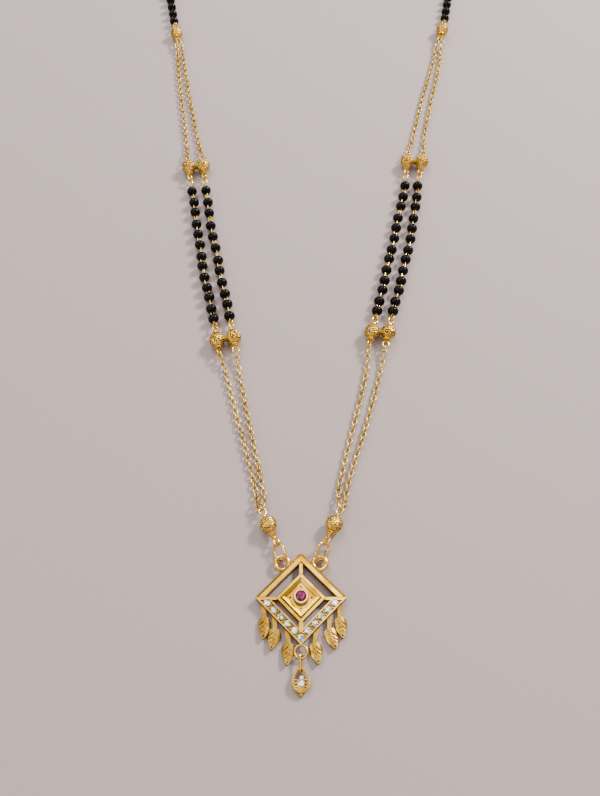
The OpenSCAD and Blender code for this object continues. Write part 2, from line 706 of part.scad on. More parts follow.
// Pin through a ball, with an eye at each end, a coil below the ball and maybe a cap above
module pin(ball, reach, low_roll, high_roll, capped) at_ball(ball) {
    coil_len = reach[0] - eye_len / 2 - seat_out;
    low_end = reach[0] - (eye_len - eye_wire) / 2;
    high_end = reach[1] - (eye_len - eye_wire) / 2;
    rotate([0, -90, 0]) rotate_extrude() polygon(concat(
        [[0, seat_out]],
        [for (p = coil_ribs(coil_len)) [p[0], seat_out + p[1]]],
        [[0, seat_out + coil_len]]
    ));
    translate([-low_end, 0, 0]) rotate([0, 90, 0]) cylinder(d = pin_d, h = low_end + high_end);
    if (capped) translate([seat_out, 0, 0]) rotate([0, 90, 0]) rotate_extrude() polygon([
        [0, 0], [cap_d / 2 - 0.1, 0], [cap_d / 2, 0.1], [cap_d / 2, cap_t - 0.08],
        [cap_d / 2 - 0.12, cap_t], [cap_d / 3, cap_t], [cap_d / 3 - 0.1, cap_t + 0.22], [0, cap_t + 0.22]
    ]);
    translate([-reach[0], 0, 0]) rotate([low_roll, 0, 0]) oval_ring(eye_len, eye_w, eye_wire);
    translate([reach[1], 0, 0]) rotate([high_roll, 0, 0]) oval_ring(eye_len, eye_w, eye_wire);
}

module low_ball_left() color(GOLD) drilled_ball(LOW_LEFT);
module low_ball_right() color(GOLD) drilled_ball(LOW_RIGHT);
module low_pin_left() color(BRIGHT_GOLD) pin(LOW_LEFT, LOW_PIN, -jump_roll_left - 90, 20, false);
module low_pin_right() color(BRIGHT_GOLD) pin(LOW_RIGHT, LOW_PIN, jump_roll_right - 90, -20, false);
module top_ball_left() color(GOLD) drilled_ball(TOP_LEFT);
module top_ball_right() color(GOLD) drilled_ball(TOP_RIGHT);
module top_pin_left() color(BRIGHT_GOLD) pin(TOP_LEFT, TOP_PIN, 25, 45, false);
module top_pin_right() color(BRIGHT_GOLD) pin(TOP_RIGHT, TOP_PIN, -25, 45, false);
module middle_balls_left() ball_pair(MIDDLE_LEFT_OUTER, MIDDLE_LEFT_INNER);
module middle_balls_right() ball_pair(MIDDLE_RIGHT_INNER, MIDDLE_RIGHT_OUTER);
module upper_balls_left() ball_pair(UPPER_LEFT_OUTER, UPPER_LEFT_INNER);
module upper_balls_right() ball_pair(UPPER_RIGHT_INNER, UPPER_RIGHT_OUTER);
module middle_pins(first, second) color(BRIGHT_GOLD) {
    pin(first, MIDDLE_PIN, 60, 45, true);
    pin(second, MIDDLE_PIN, 10, 45, true);
}
module upper_pins(first, second) color(BRIGHT_GOLD) {
    pin(first, UPPER_PIN, 45, 55, false);
    pin(second, UPPER_PIN, 45, 15, false);
}
module middle_pins_left() middle_pins(MIDDLE_LEFT_OUTER, MIDDLE_LEFT_INNER);
module middle_pins_right() middle_pins(MIDDLE_RIGHT_INNER, MIDDLE_RIGHT_OUTER);
module upper_pins_left() upper_pins(UPPER_LEFT_OUTER, UPPER_LEFT_INNER);
module upper_pins_right() upper_pins(UPPER_RIGHT_INNER, UPPER_RIGHT_OUTER);

// Ends of a thread: how far its eye reaches into the pin's eye, and its neck to the bead
slack = 0.25;
neck = 0.4;
short_eye = 2;
long_eye = 3.4;
// From the middle of a pin's eye to the middle of the first bead
function bead_start(eye) = slack + eye - eye_wire + neck + bead_len / 2;

// Middles of the beads along a string, on the table, between its first and last bead
function bead_places(first, name, last, count) = let (
    line = smooth(concat([first], route(name), [last]), 6),
    runs = run(line),
    total = runs[len(runs) - 1]
) [for (i = [0:count - 1]) let (
    u = i / (count - 1),
    inner = i > 0 && i < count - 1 ? 1 : 0,
    s = total * (u + bead_spread * u * (1 - u)) + inner * bead_stray * sin(137 * i),
    ahead = unit(along(line, runs, min(s + 1, total)) - along(line, runs, max(s - 1, 0))),
    p = along(line, runs, s) + inner * bead_sway * sin(83 * i) * [-ahead[1], ahead[0]]
) lift(p, bead_z)];

module bead() rotate_extrude() intersection() {
    translate([(bead_d - bead_len) / 2, 0]) circle(d = bead_len);
    translate([bead_bore / 2, -bead_len]) square([bead_d, 2 * bead_len]);
}

module bead_string(places) {
    t = tangents(places);
    color(BLACK) for (i = [0:len(places) - 1]) translate(places[i])
        rotate([0, 0, atan2(t[i][1], t[i][0])]) rotate([0, 90, 0]) bead();
}

// The eye that ends a thread, from its free end round to its neck
function thread_eye(hold, bead, length, roll) = let (
    ahead = unit(bead - hold),
    side = unit(cross([0, 0, 1], ahead)),
    across = cos(roll) * side + sin(roll) * cross(ahead, side),
    half = (length - eye_wire) / 2,
    mid = hold + half * ahead,
    half_w = (eye_w - eye_wire) / 2,
    level = unit([ahead[0], ahead[1], 0])
) concat(
    [for (a = [40:28:320]) mid + half * cos(a) * ahead + half_w * sin(a) * across],
    [mid + (half + neck / 3) * ahead, bead - (bead_len / 2 + neck / 3) * level]
);

module thread(start_eye, places, end_eye) color(BRIGHT_GOLD)
    tube(concat(start_eye, places, reversed(end_eye)), thread_d / 2);

// Strings of black beads between the upper and the middle balls
STRING_NAME = 0;
STRING_FROM = 1;
STRING_TO = 2;
STRING_COUNT = 3;
LEFT_OUTER = ["beads_left_outer", UPPER_LEFT_OUTER, MIDDLE_LEFT_OUTER, 13];
LEFT_INNER = ["beads_left_inner", UPPER_LEFT_INNER, MIDDLE_LEFT_INNER, 12];
RIGHT_INNER = ["beads_right_inner", UPPER_RIGHT_INNER, MIDDLE_RIGHT_INNER, 13];
RIGHT_OUTER = ["beads_right_outer", UPPER_RIGHT_OUTER, MIDDLE_RIGHT_OUTER, 13];
function string_places(s) = bead_places(
    on_pin(s[STRING_FROM], -UPPER_PIN[0] - bead_start(long_eye)), s[STRING_NAME],
    on_pin(s[STRING_TO], MIDDLE_PIN[1] + bead_start(short_eye)), s[STRING_COUNT]
);
module string_thread(s) {
    places = string_places(s);
    top_hold = lift(on_pin(s[STRING_FROM], -UPPER_PIN[0] - slack), ball_r);
    low_hold = lift(on_pin(s[STRING_TO], MIDDLE_PIN[1] + slack), ball_r);
    thread(
        thread_eye(top_hold, places[0], long_eye, 45), places,
        thread_eye(low_hold, places[len(places) - 1], short_eye, -45)
    );
}
module beads_left_outer() bead_string(string_places(LEFT_OUTER));
module beads_left_inner() bead_string(string_places(LEFT_INNER));
module beads_right_inner() bead_string(string_places(RIGHT_INNER));
module beads_right_outer() bead_string(string_places(RIGHT_OUTER));
module thread_left_outer() string_thread(LEFT_OUTER);
module thread_left_inner() string_thread(LEFT_INNER);
module thread_right_inner() string_thread(RIGHT_INNER);
module thread_right_outer() string_thread(RIGHT_OUTER);

// Single strings round the back, from the top balls to the clasp
end_ring_r = (end_ring_d - end_ring_wire) / 2;
end_ring_hold = 2 * hook_r - (hook_wire + end_ring_wire) / 2 - 0.3;
end_ring_x = end_ring_hold + end_ring_r;
function clasp_hold(side) = lift(
    CLASP_PLACE + [side * (end_ring_x + end_ring_r - (end_ring_wire + thread_d) / 2 - 0.15), 0], clasp_z
);
function clasp_bead(side) =
    CLASP_PLACE + [side * (clasp_hold(1)[0] - CLASP_PLACE[0] + bead_start(short_eye) - slack), 0];
function back_places(ball, name, side) = let (
    first = on_pin(ball, TOP_PIN[1] + bead_start(short_eye)),
    line = smooth(concat([first], route(name), [clasp_bead(side)]), 6),
    runs = run(line)
) [for (i = [0:1], count = round(runs[len(runs) - 1] / bead_pitch)) if (i == 0)
    for (k = [0:count]) lift(along(line, runs, runs[len(runs) - 1] * k / count), bead_z)];
module back_thread(ball, name, side) {
    places = back_places(ball, name, side);
    low_hold = lift(on_pin(ball, TOP_PIN[1] + slack), ball_r);
    thread(
        thread_eye(low_hold, places[0], short_eye, -45), places,
        thread_eye(clasp_hold(side), places[len(places) - 1], short_eye, end_ring_roll - 90)
    );
}
module back_beads_left() bead_string(back_places(TOP_LEFT, "back_beads_left", -1));
module back_beads_right() bead_string(back_places(TOP_RIGHT, "back_beads_right", 1));
module back_thread_left() back_thread(TOP_LEFT, "back_beads_left", -1);
module back_thread_right() back_thread(TOP_RIGHT, "back_beads_right", 1);

// Chains, as plain round tubes, from one pin's eye to another's
chain_rise_len = 4.8;
chain_beside = chain_r + 0.07;
function chain_line(from, name, to) = let (
    line = smooth(concat([from], route(name), [to]), 6),
    runs = run(line),
    total = runs[len(runs) - 1],
    stops = concat(
        [0, 2.2], [for (k = [0:5]) mix(chain_rise_len, total - chain_rise_len, k / 5)], [total - 2.2, total]
    )
) [for (s = stops) let (
    near = min(s, total - s),
    rise = near < chain_rise_len ? pow(1 - near / chain_rise_len, 2) : 0
) lift(along(line, runs, min(s, total - 0.001)), mix(chain_z, ball_r, rise))];
module chain(from, name, to) color(BRIGHT_GOLD) tube(chain_line(from, name, to), chain_r);
eye_clear = eye_len / 2 + chain_gap;
// Room for the slant of two chains that share an eye
shared_clear = chain_r * sin(20);
// Below a pin's lower eye, where one chain hangs
function below(ball, pin) = on_pin(ball, -pin[0] - eye_clear);
// Above a pin's upper eye, where one chain hangs
function above(ball, pin) = on_pin(ball, pin[1] + eye_clear);
// Moves a chain's end off the pin's line, and away from the ball, beside another chain
function aside(ball, side, away) =
    side * chain_beside * turn(ball[HEADING] - 90) + away * shared_clear * turn(ball[HEADING]);
// A lower chain hangs alone from a middle pin, and shares the eye of a low pin
module lower_chain(name, from, to, side) chain(
    below(from, MIDDLE_PIN), name, above(to, LOW_PIN) + aside(to, side, 1)
);
// An upper chain shares the eye of a top pin, and hangs alone on an upper pin
module upper_chain(name, from, to, side) chain(
    below(from, TOP_PIN) + aside(from, side, -1), name, above(to, UPPER_PIN)
);
module lower_chain_left_outer()
    lower_chain("lower_chain_left_outer", MIDDLE_LEFT_OUTER, LOW_LEFT, -1);
module lower_chain_left_inner()
    lower_chain("lower_chain_left_inner", MIDDLE_LEFT_INNER, LOW_LEFT, 1);
module lower_chain_right_inner()
    lower_chain("lower_chain_right_inner", MIDDLE_RIGHT_INNER, LOW_RIGHT, -1);
module lower_chain_right_outer()
    lower_chain("lower_chain_right_outer", MIDDLE_RIGHT_OUTER, LOW_RIGHT, 1);
module upper_chain_left_outer()
    upper_chain("upper_chain_left_outer", TOP_LEFT, UPPER_LEFT_OUTER, -1);
module upper_chain_left_inner()
    upper_chain("upper_chain_left_inner", TOP_LEFT, UPPER_LEFT_INNER, 1);
module upper_chain_right_inner()
    upper_chain("upper_chain_right_inner", TOP_RIGHT, UPPER_RIGHT_INNER, -1);
module upper_chain_right_outer()
    upper_chain("upper_chain_right_outer", TOP_RIGHT, UPPER_RIGHT_OUTER, 1);

// Plain hook in one piece, bent to an S, that holds both end rings
module clasp_hook() color(GOLD) translate(lift(CLASP_PLACE, clasp_z))
    for (s = [0, 180]) rotate([0, 0, s]) {
        translate([-hook_r, 0, 0]) {
            rotate_extrude(angle = hook_turn) translate([hook_r, 0]) circle(d = hook_wire);
            rotate([0, 0, hook_turn]) translate([hook_r, 0, 0]) sphere(d = 1.15 * hook_wire);
        }
    }
module clasp_ring(side) color(BRIGHT_GOLD)
    translate(lift(CLASP_PLACE + [side * end_ring_x, 0], clasp_z)) rotate([side * end_ring_roll, 0, 0])
        round_ring(end_ring_d, end_ring_wire);
module clasp_ring_left() clasp_ring(-1);
module clasp_ring_right() clasp_ring(1);

pendant_frame();
red_stone();
for (i = [1:STONE_COUNT])
    channel_stone(i);
drop_frame();
drop_stone();
drop_accent_stone();
drop_ring();
jump_ring_left();
jump_ring_right();
low_ball_left();
low_ball_right();
low_pin_left();
low_pin_right();
middle_balls_left();
middle_balls_right();
middle_pins_left();
middle_pins_right();
upper_balls_left();
upper_balls_right();
upper_pins_left();
upper_pins_right();
top_ball_left();
top_ball_right();
top_pin_left();
top_pin_right();
lower_chain_left_outer();
lower_chain_left_inner();
lower_chain_right_inner();
lower_chain_right_outer();
upper_chain_left_outer();
upper_chain_left_inner();
upper_chain_right_inner();
upper_chain_right_outer();
beads_left_outer();
beads_left_inner();
beads_right_inner();
beads_right_outer();
thread_left_outer();
thread_left_inner();
thread_right_inner();
thread_right_outer();
back_beads_left();
back_beads_right();
back_thread_left();
back_thread_right();
clasp_hook();
clasp_ring_left();
clasp_ring_right();
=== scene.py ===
# Mangalsutra necklace lying on a pale surface: links, balls, beads, finishes and light.
import math

import bpy
import numpy as np
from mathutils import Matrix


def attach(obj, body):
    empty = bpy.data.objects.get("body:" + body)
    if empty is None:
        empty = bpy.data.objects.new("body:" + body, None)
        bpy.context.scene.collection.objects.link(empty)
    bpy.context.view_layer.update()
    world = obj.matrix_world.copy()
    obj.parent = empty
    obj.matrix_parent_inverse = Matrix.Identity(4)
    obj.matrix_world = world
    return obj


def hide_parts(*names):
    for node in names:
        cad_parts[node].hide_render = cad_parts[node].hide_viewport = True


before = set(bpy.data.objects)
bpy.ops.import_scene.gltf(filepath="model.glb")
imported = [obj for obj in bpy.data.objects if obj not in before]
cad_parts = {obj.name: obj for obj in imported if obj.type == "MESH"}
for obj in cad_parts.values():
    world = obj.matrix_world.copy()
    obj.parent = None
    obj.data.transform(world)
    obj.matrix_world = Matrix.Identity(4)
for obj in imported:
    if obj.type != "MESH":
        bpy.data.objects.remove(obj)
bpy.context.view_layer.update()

MM = 0.001
UP = np.array([0.0, 0.0, 1.0])

# Sizes in millimetres: balls, and the ridges on their skin
BALL_R = 1.87
BALL_BORE = 1.0
RIDGE_DEPTH = 0.12
WORM_LENGTH = 0.5
RINGS = 17
RING_SQUARE = 0.7
COIL_EDGE, COIL_BLEND = 0.80, 0.05
MOUTH_FADE = 0.12
SOLDER_D = 1.9
# Share of wound ridges on a ball, and on the two low ones
WOUND, LOW_WOUND = 0.1, 0.42
# Beads, and how far they stray and lean
BEAD_D = 2.8
BEAD_LEN = 2.15
BEAD_BORE = 0.95
BEAD_LEAN = 3.5
BEAD_SHRINK = 0.012
BEAD_TURN = 31.0
# Chains: height of their line, and how they leave the eyes
CHAIN_Z = 0.67
CHAIN_RISE = 4.8
CHAIN_BESIDE = 0.72
EYE_CLEAR = 1.25
SHARED_CLEAR = 0.222
# Eyes and strings of beads
EYE_WIRE = 0.46
EYE_W = 1.9
BEAD_PITCH = 3.5
BEAD_SPREAD = 0.12
BEAD_STRAY = 0.2
BEAD_SWAY = 0.1
SLACK = 0.25
NECK = 0.4
SHORT_EYE = 2.0
LONG_EYE = 3.4
EYE_ROLL, CLASP_ROLL = 45, 40
# Links
LINK_HALF = 0.83
LINK_HALF_W = 0.52
LINK_WIRE_R = 0.182
LINK_PITCH = 1.24
HOOK_IN = 0.42
HOOK_ASIDE = 0.2
LINK_ROLL = 22
LINKS_TO_TURN = 5
LINK_SWING = 7
# Wires of the strings
STRING_WIRE_R = 0.22
LOOP_WIRE_R = 0.165
LOOP_HALF_W = 0.3
LOOP_ROLL, LOOP_TURN = 40, 77.0

# Balls: middle on the table, and heading of the pin towards the neck
BALLS = {
    "low_left": ((-6.95, 15.3), 114.4),
    "low_right": ((7.1, 15.5), 65.6),
    "middle_left_outer": ((-20.25, 61.7), 101),
    "middle_left_inner": ((-16.35, 62.5), 101),
    "middle_right_inner": ((17.35, 64.1), 76.5),
    "middle_right_outer": ((21.3, 64), 76.5),
    "upper_left_outer": ((-31.1, 118.6), 99.5),
    "upper_left_inner": ((-27.1, 119), 98),
    "upper_right_inner": ((29.7, 120.7), 82.5),
    "upper_right_outer": ((33.75, 120.5), 78.5),
    "top_left": ((-38.9, 175.7), 102),
    "top_right": ((44.5, 177.1), 77),
}
# Middle of a ball to the middle of the eye below it and of the eye above it
PINS = {"low": (4.2, 3.15), "middle": (3.6, 3.4), "upper": (4.1, 3.15), "top": (3.6, 3.15)}

# Chains: upper ball, lower ball, side in a shared eye, rolls of the two eyes, route between
CHAINS = {
    "lower_chain_left_outer": (
        "middle_left_outer", "low_left", -1, 60, 20,
        [(-17.8, 53), (-14.7, 41.2), (-11.4, 29.5), (-9.6, 21.5)]),
    "lower_chain_left_inner": (
        "middle_left_inner", "low_left", 1, 10, 20,
        [(-14.2, 51), (-11.9, 40), (-9.5, 29), (-7.9, 21.5)]),
    "lower_chain_right_inner": (
        "middle_right_inner", "low_right", -1, 60, -20,
        [(15.5, 53), (12.3, 40), (9.6, 29.5), (8, 22)]),
    "lower_chain_right_outer": (
        "middle_right_outer", "low_right", 1, 10, -20,
        [(18.4, 51.5), (14.9, 39), (11.6, 29), (9.8, 22)]),
    "upper_chain_left_outer": (
        "top_left", "upper_left_outer", -1, 25, 55,
        [(-37.4, 161), (-35.1, 145), (-32.6, 129)]),
    "upper_chain_left_inner": (
        "top_left", "upper_left_inner", 1, 25, 15,
        [(-35.5, 161), (-32.5, 145), (-29.2, 129)]),
    "upper_chain_right_inner": (
        "top_right", "upper_right_inner", -1, -25, 55,
        [(40, 161), (35.8, 146), (31.9, 130)]),
    "upper_chain_right_outer": (
        "top_right", "upper_right_outer", 1, -25, 15,
        [(42.2, 161), (38.6, 146), (35.4, 131)]),
}
# Paired strings of beads: upper ball, lower ball, how many beads, route between
STRINGS = {
    "left_outer": ("upper_left_outer", "middle_left_outer", 13, [(-27.5, 98), (-25, 83.5)]),
    "left_inner": ("upper_left_inner", "middle_left_inner", 12, [(-23.8, 98), (-20.8, 83.5)]),
    "right_inner": ("upper_right_inner", "middle_right_inner", 13, [(25.7, 99), (22.2, 84)]),
    "right_outer": ("upper_right_outer", "middle_right_outer", 13, [(29.9, 99), (26.5, 84)]),
}
# Single strings round the back: ball, side of the clasp, route
BACK_STRINGS = {
    "left": ("top_left", -1, [
        (-42.3, 193), (-44.7, 205), (-46.6, 217), (-47.2, 230), (-44.8, 243), (-38.2, 254),
        (-28, 263), (-16, 268.4)]),
    "right": ("top_right", 1, [
        (47.8, 193), (50.3, 205), (52.2, 217), (52.8, 230), (50.4, 243), (43.8, 254),
        (33.6, 263), (22, 268.4)]),
}
# Middle of the clasp, how far to each side it holds a string, and its height
CLASP_PLACE = np.array([3.0, 271.0])
CLASP_HOLD = 5.65
CLASP_Z = 1.832


# Lines and places
def toward(degrees):
    """Unit vector on the table at an angle from +X."""
    a = math.radians(degrees)
    return np.array([math.cos(a), math.sin(a)])


def on_pin(ball, distance):
    """Point on a ball's pin, a distance from the ball's middle towards the neck."""
    place, heading = BALLS[ball]
    return np.array(place, float) + distance * toward(heading)


def pin_of(ball):
    """How far from a ball's middle its pin's two eyes are."""
    return PINS[ball.split("_")[0]]


def smooth_line(points, steps):
    """Curve through chosen points: each stretch is the cubic whose slope at a point is half
    the way from the point before it to the point after it."""
    p = np.array(points, float)
    padded = np.vstack([p[:1], p, p[-1:]])
    a, b, c, d = padded[:-3], padded[1:-2], padded[2:-1], padded[3:]
    t = (np.arange(steps) / steps)[None, :, None]
    a, b, c, d = (q[:, None, :] for q in (a, b, c, d))
    curve = 0.5 * (2 * b + (c - a) * t + (2 * a - 5 * b + 4 * c - d) * t**2
                   + (3 * b - a - 3 * c + d) * t**3)
    return np.vstack([curve.reshape(-1, p.shape[1]), p[-1:]])


def run_of(line):
    """Distance run at each point of a line."""
    return np.concatenate([[0], np.cumsum(np.linalg.norm(np.diff(line, axis=0), axis=1))])


def along(line, distances):
    """Points of a line at given distances run, between its own points in proportion."""
    run = run_of(line)
    return np.stack([np.interp(distances, run, line[:, k]) for k in range(line.shape[1])], 1)


def unit(v):
    """Vectors brought to a length of 1."""
    return v / np.linalg.norm(v, axis=-1, keepdims=True)


def headings(points):
    """Direction at each point, from the point before it to the point after it."""
    ends = np.vstack([points[:1], points, points[-1:]])
    return unit(ends[2:] - ends[:-2])


def frames(directions, rolls):
    """For each direction, the level side vector turned about it by a roll, and the third
    vector square to both."""
    side = unit(np.cross(UP, directions))
    top = np.cross(directions, side)
    r = np.radians(rolls)[:, None]
    across = np.cos(r) * side + np.sin(r) * top
    return across, np.cross(directions, across)


# Making meshes
def grid_faces(rows, columns, first=0, close_rows=True, close_columns=True):
    """Quads of a grid of points that may close on itself both ways."""
    r = np.arange(rows if close_rows else rows - 1)[:, None]
    c = np.arange(columns if close_columns else columns - 1)[None, :]
    r2, c2 = (r + 1) % rows, (c + 1) % columns
    quads = np.stack([r * columns + c, r * columns + c2, r2 * columns + c2, r2 * columns + c], -1)
    return quads.reshape(-1, 4) + first


def repeated(points, faces):
    """Joins copies of one form, given as copies x points x 3, into one list of each."""
    copies, count = points.shape[:2]
    offsets = (np.arange(copies) * count)[:, None, None]
    return points.reshape(-1, 3), (faces[None] + offsets).reshape(-1, faces.shape[1])


def joined(parts):
    """Joins several lists of points and of quads into one of each."""
    counts = np.cumsum([0] + [len(p) for p, _ in parts])
    return (np.vstack([p for p, _ in parts]),
            np.vstack([f + counts[k] for k, (_, f) in enumerate(parts)]))


def piece(name, points, faces, material, slot, *nodes, relief=None):
    """Puts points in millimetres and their quads into a smooth mesh that rides on the
    necklace and stands for the named nodes. A relief is how high each point lies on its
    ridges, from 0 to 1, and the mesh keeps it for its material."""
    mesh = bpy.data.meshes.new(name)
    mesh.from_pydata((points * MM).tolist(), [], faces.tolist())
    if relief is not None:
        mesh.attributes.new("relief", "FLOAT", "POINT").data.foreach_set("value", relief)
    mesh.polygons.foreach_set("use_smooth", np.ones(len(mesh.polygons), bool))
    mesh.materials.append(material)
    mesh.validate()
    mesh.update()
    made = bpy.data.objects.new(name, mesh)
    bpy.context.collection.objects.link(made)
    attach(made, "root")
    if nodes:
        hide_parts(*nodes)
    return made


# Chain links
def oval_wire(half, half_w, wire_r, around=14, sides=6, square=0.86):
    """Wire ring lying in the XY plane: its middle line is an oval whose cosine and sine are
    raised to a power below 1, which squares it a little, and a round section runs along it."""
    a = 2 * np.pi * np.arange(around) / around
    power = lambda v: np.sign(v) * np.abs(v) ** square
    line = np.stack([half * power(np.cos(a)), half_w * power(np.sin(a)), 0 * a], 1)
    ahead = unit(np.roll(line, -1, 0) - np.roll(line, 1, 0))
    out = np.cross(ahead, UP)
    b = 2 * np.pi * np.arange(sides) / sides
    section = np.cos(b)[None, :, None] * out[:, None] + np.sin(b)[None, :, None] * UP
    points = line[:, None] + wire_r * section
    return points.reshape(-1, 3), grid_faces(around, sides)[:, ::-1]


def place_forms(points, middles, ahead, across, square):
    """Sets copies of a form: its X, Y and Z run along the three given directions of each."""
    turned = (points[None, :, :1] * ahead[:, None] + points[None, :, 1:2] * across[:, None]
              + points[None, :, 2:] * square[:, None])
    return middles[:, None] + turned


def chain_line(upper, lower, side, route):
    """Line of a chain's links, from inside one eye to inside the other. It comes down from
    the height of the eyes to the table in a short curve whose slope dies out."""
    shared_top = upper.startswith("top")
    shared_low = lower.startswith("low")
    head_a, head_b = BALLS[upper][1], BALLS[lower][1]
    reach_a, reach_b = pin_of(upper)[0], pin_of(lower)[1]
    first = on_pin(upper, -reach_a - EYE_CLEAR)
    last = on_pin(lower, reach_b + EYE_CLEAR)
    hook_a = on_pin(upper, -reach_a - HOOK_IN)
    hook_b = on_pin(lower, reach_b + HOOK_IN)
    if shared_top:
        first += side * CHAIN_BESIDE * toward(head_a - 90) - SHARED_CLEAR * toward(head_a)
        hook_a += side * HOOK_ASIDE * toward(head_a - 90)
    if shared_low:
        last += side * CHAIN_BESIDE * toward(head_b - 90) + SHARED_CLEAR * toward(head_b)
        hook_b += side * HOOK_ASIDE * toward(head_b - 90)
    flat = smooth_line([first, *route, last], 24)
    run = run_of(flat)
    near = np.minimum(run, run[-1] - run)
    rise = np.where(near < CHAIN_RISE, (1 - near / CHAIN_RISE) ** 2, 0)
    z = CHAIN_Z + (BALL_R - CHAIN_Z) * rise
    line = np.column_stack([flat, z])
    return np.vstack([[*hook_a, BALL_R], line, [*hook_b, BALL_R]])


def nearest_turn(angle, target, step):
    """The angle plus a whole number of steps that lies nearest to a target."""
    return angle + step * round((target - angle) / step)


def make_chain(node, upper, lower, side, roll_a, roll_b, route, material):
    """Cable chain: each link is an oval ring between two points of the line, and every
    second one is turned a quarter about it. Near the eyes the links turn to hang square
    to the eye that holds them."""
    line = chain_line(upper, lower, side, route)
    total = run_of(line)[-1]
    count = round((total - 2 * LINK_HALF) / LINK_PITCH) + 1
    middle = np.linspace(LINK_HALF, total - LINK_HALF, count)
    start, end = along(line, middle - LINK_HALF), along(line, middle + LINK_HALF)
    ahead = unit(end - start)
    k = np.arange(count)
    body = nearest_turn(LINK_ROLL, 90 - roll_a, 90)
    begin = nearest_turn(90 - roll_a, body, 180)
    finish = nearest_turn(90 - roll_b - 90 * (count - 1), body, 180)
    fade_a = np.clip(1 - k / LINKS_TO_TURN, 0, 1)
    fade_b = np.clip(1 - (count - 1 - k) / LINKS_TO_TURN, 0, 1)
    loose = LINK_SWING * np.sin(2.3 * k + len(node)) * (1 - fade_a) * (1 - fade_b)
    base = body + (begin - body) * fade_a + (finish - body) * fade_b + loose
    across, square = frames(ahead, base + 90 * (k % 2))
    link, faces = oval_wire(LINK_HALF, LINK_HALF_W, LINK_WIRE_R)
    points = place_forms(link, (start + end) / 2, ahead, across, square)
    return piece("links_" + node, *repeated(points, faces), material, "chain_gold", node)


# Gold balls
def worm_field(local, seed):
    """Even, wandering ridges on a ball: the sum of eleven sine waves of one length, that run
    through space in directions spread evenly over a sphere."""
    k = np.arange(11)
    rise = 1 - (2 * k + 1) / 11
    turn = 2.4 * k + seed
    flat = np.sqrt(1 - rise**2)
    ways = np.stack([flat * np.cos(turn), flat * np.sin(turn), rise])
    return np.sin(2 * np.pi / WORM_LENGTH * (local @ ways) + seed * k).sum(-1) * math.sqrt(2 / 11)


def ball_relief(polar, turn, wound, seed):
    """Height of a ball's skin in its ridges, from 0 to 1. Wound ridges run round the pin, one
    after another from end to end, as the cosine of the polar angle without its sign, bent
    by slow sines of both angles. The rest of the skin has wandering ridges. Near its lower
    end every ball is wound, and its ridges run straight."""
    low = 1 / (1 + np.exp((polar - COIL_EDGE) / COIL_BLEND))
    bend = (0.8 * np.sin(4 * turn + 3 * polar + seed)
            + 0.6 * np.sin(7 * turn - 5 * polar + 2 * seed))
    rings = np.abs(np.cos(RINGS * polar + (1 - low) * bend)) ** RING_SQUARE
    local = BALL_R * np.stack([-np.cos(polar) + 0 * turn, np.sin(polar) * np.cos(turn),
                               np.sin(polar) * np.sin(turn)], -1)
    field = worm_field(local, seed)
    worms = 0.5 + 0.5 * np.tanh(1.6 * field)
    share = np.maximum(low, wound)
    return share * rings + (1 - share) * worms


def ball_form(ball, wound, seed, rows=128, columns=112):
    """Bored ball: a circle carried round the pin's line, lifted by the relief, and joined
    at both mouths to the bore, whose two rows close the form. The third list is the relief
    at each point."""
    place, heading = BALLS[ball]
    edge = math.asin(BALL_BORE / 2 / BALL_R)
    polar = np.linspace(edge, np.pi - edge, rows)[:, None]
    turn = (2 * np.pi * np.arange(columns) / columns)[None, :]
    fade = np.clip(np.minimum(polar - edge, np.pi - edge - polar) / MOUTH_FADE, 0, 1)
    relief = ball_relief(polar, turn, wound, seed)
    r = BALL_R + fade * RIDGE_DEPTH * (relief - 0.8)
    run = -r * np.cos(polar)
    out = r * np.sin(polar) + 0 * turn
    bore = np.full((2, columns), BALL_BORE / 2)
    reach = BALL_R * math.cos(edge)
    run = np.vstack([run, np.full((1, columns), 0.5 * reach), np.full((1, columns), -0.5 * reach)])
    out = np.vstack([out, bore])
    local = np.stack([run, out * np.cos(turn), out * np.sin(turn)], -1).reshape(-1, 3)
    ahead = np.array([*toward(heading), 0])
    side = np.cross(UP, ahead)
    points = np.array([*place, BALL_R]) + local[:, :1] * ahead + local[:, 1:2] * side
    points = points + local[:, 2:] * UP
    return points, grid_faces(rows + 2, columns), np.vstack([relief, 0 * bore]).ravel()


def solder_form(first, second, sides=24):
    """Waisted bead of solder between two balls: a circle carried along the line between
    their middles, narrower halfway, with both ends closed by a small circle."""
    a = np.array([*BALLS[first][0], BALL_R])
    b = np.array([*BALLS[second][0], BALL_R])
    ahead = unit(b - a)
    share = np.array([-0.5, -0.5, -0.25, -0.1, 0.1, 0.25, 0.5, 0.5])
    radius = np.array([0.02, 1, 0.9, 0.8, 0.8, 0.9, 1, 0.02]) * SOLDER_D / 2
    turn = 2 * np.pi * np.arange(sides) / sides
    side = unit(np.cross(UP, ahead))
    ring = np.cos(turn)[:, None] * side + np.sin(turn)[:, None] * UP
    points = (a + b) / 2 + share[:, None, None] * BALL_R * ahead + radius[:, None, None] * ring
    points = points.reshape(-1, 3)
    faces = grid_faces(len(share), sides, close_rows=False)
    # The solder's relief is a flat 0.4, so its material paints it brownish: painted shade between
    # the two balls.
    return points, faces, np.full(len(points), 0.4)


# Black beads
def bead_form(sides=16, rows=12):
    """Bead: a circle of the bead's length carried round its thread, cut off at the bore,
    and closed along the bore by one more row."""
    centre = (BEAD_D - BEAD_LEN) / 2
    r = BEAD_LEN / 2
    limit = math.acos((BEAD_BORE / 2 - centre) / r)
    a = np.linspace(-limit, limit, rows)
    out, run = centre + r * np.cos(a), r * np.sin(a)
    turn = 2 * np.pi * np.arange(sides) / sides
    points = np.stack([np.repeat(run, sides), np.outer(out, np.cos(turn)).ravel(),
                       np.outer(out, np.sin(turn)).ravel()], 1)
    return points, grid_faces(rows, sides)


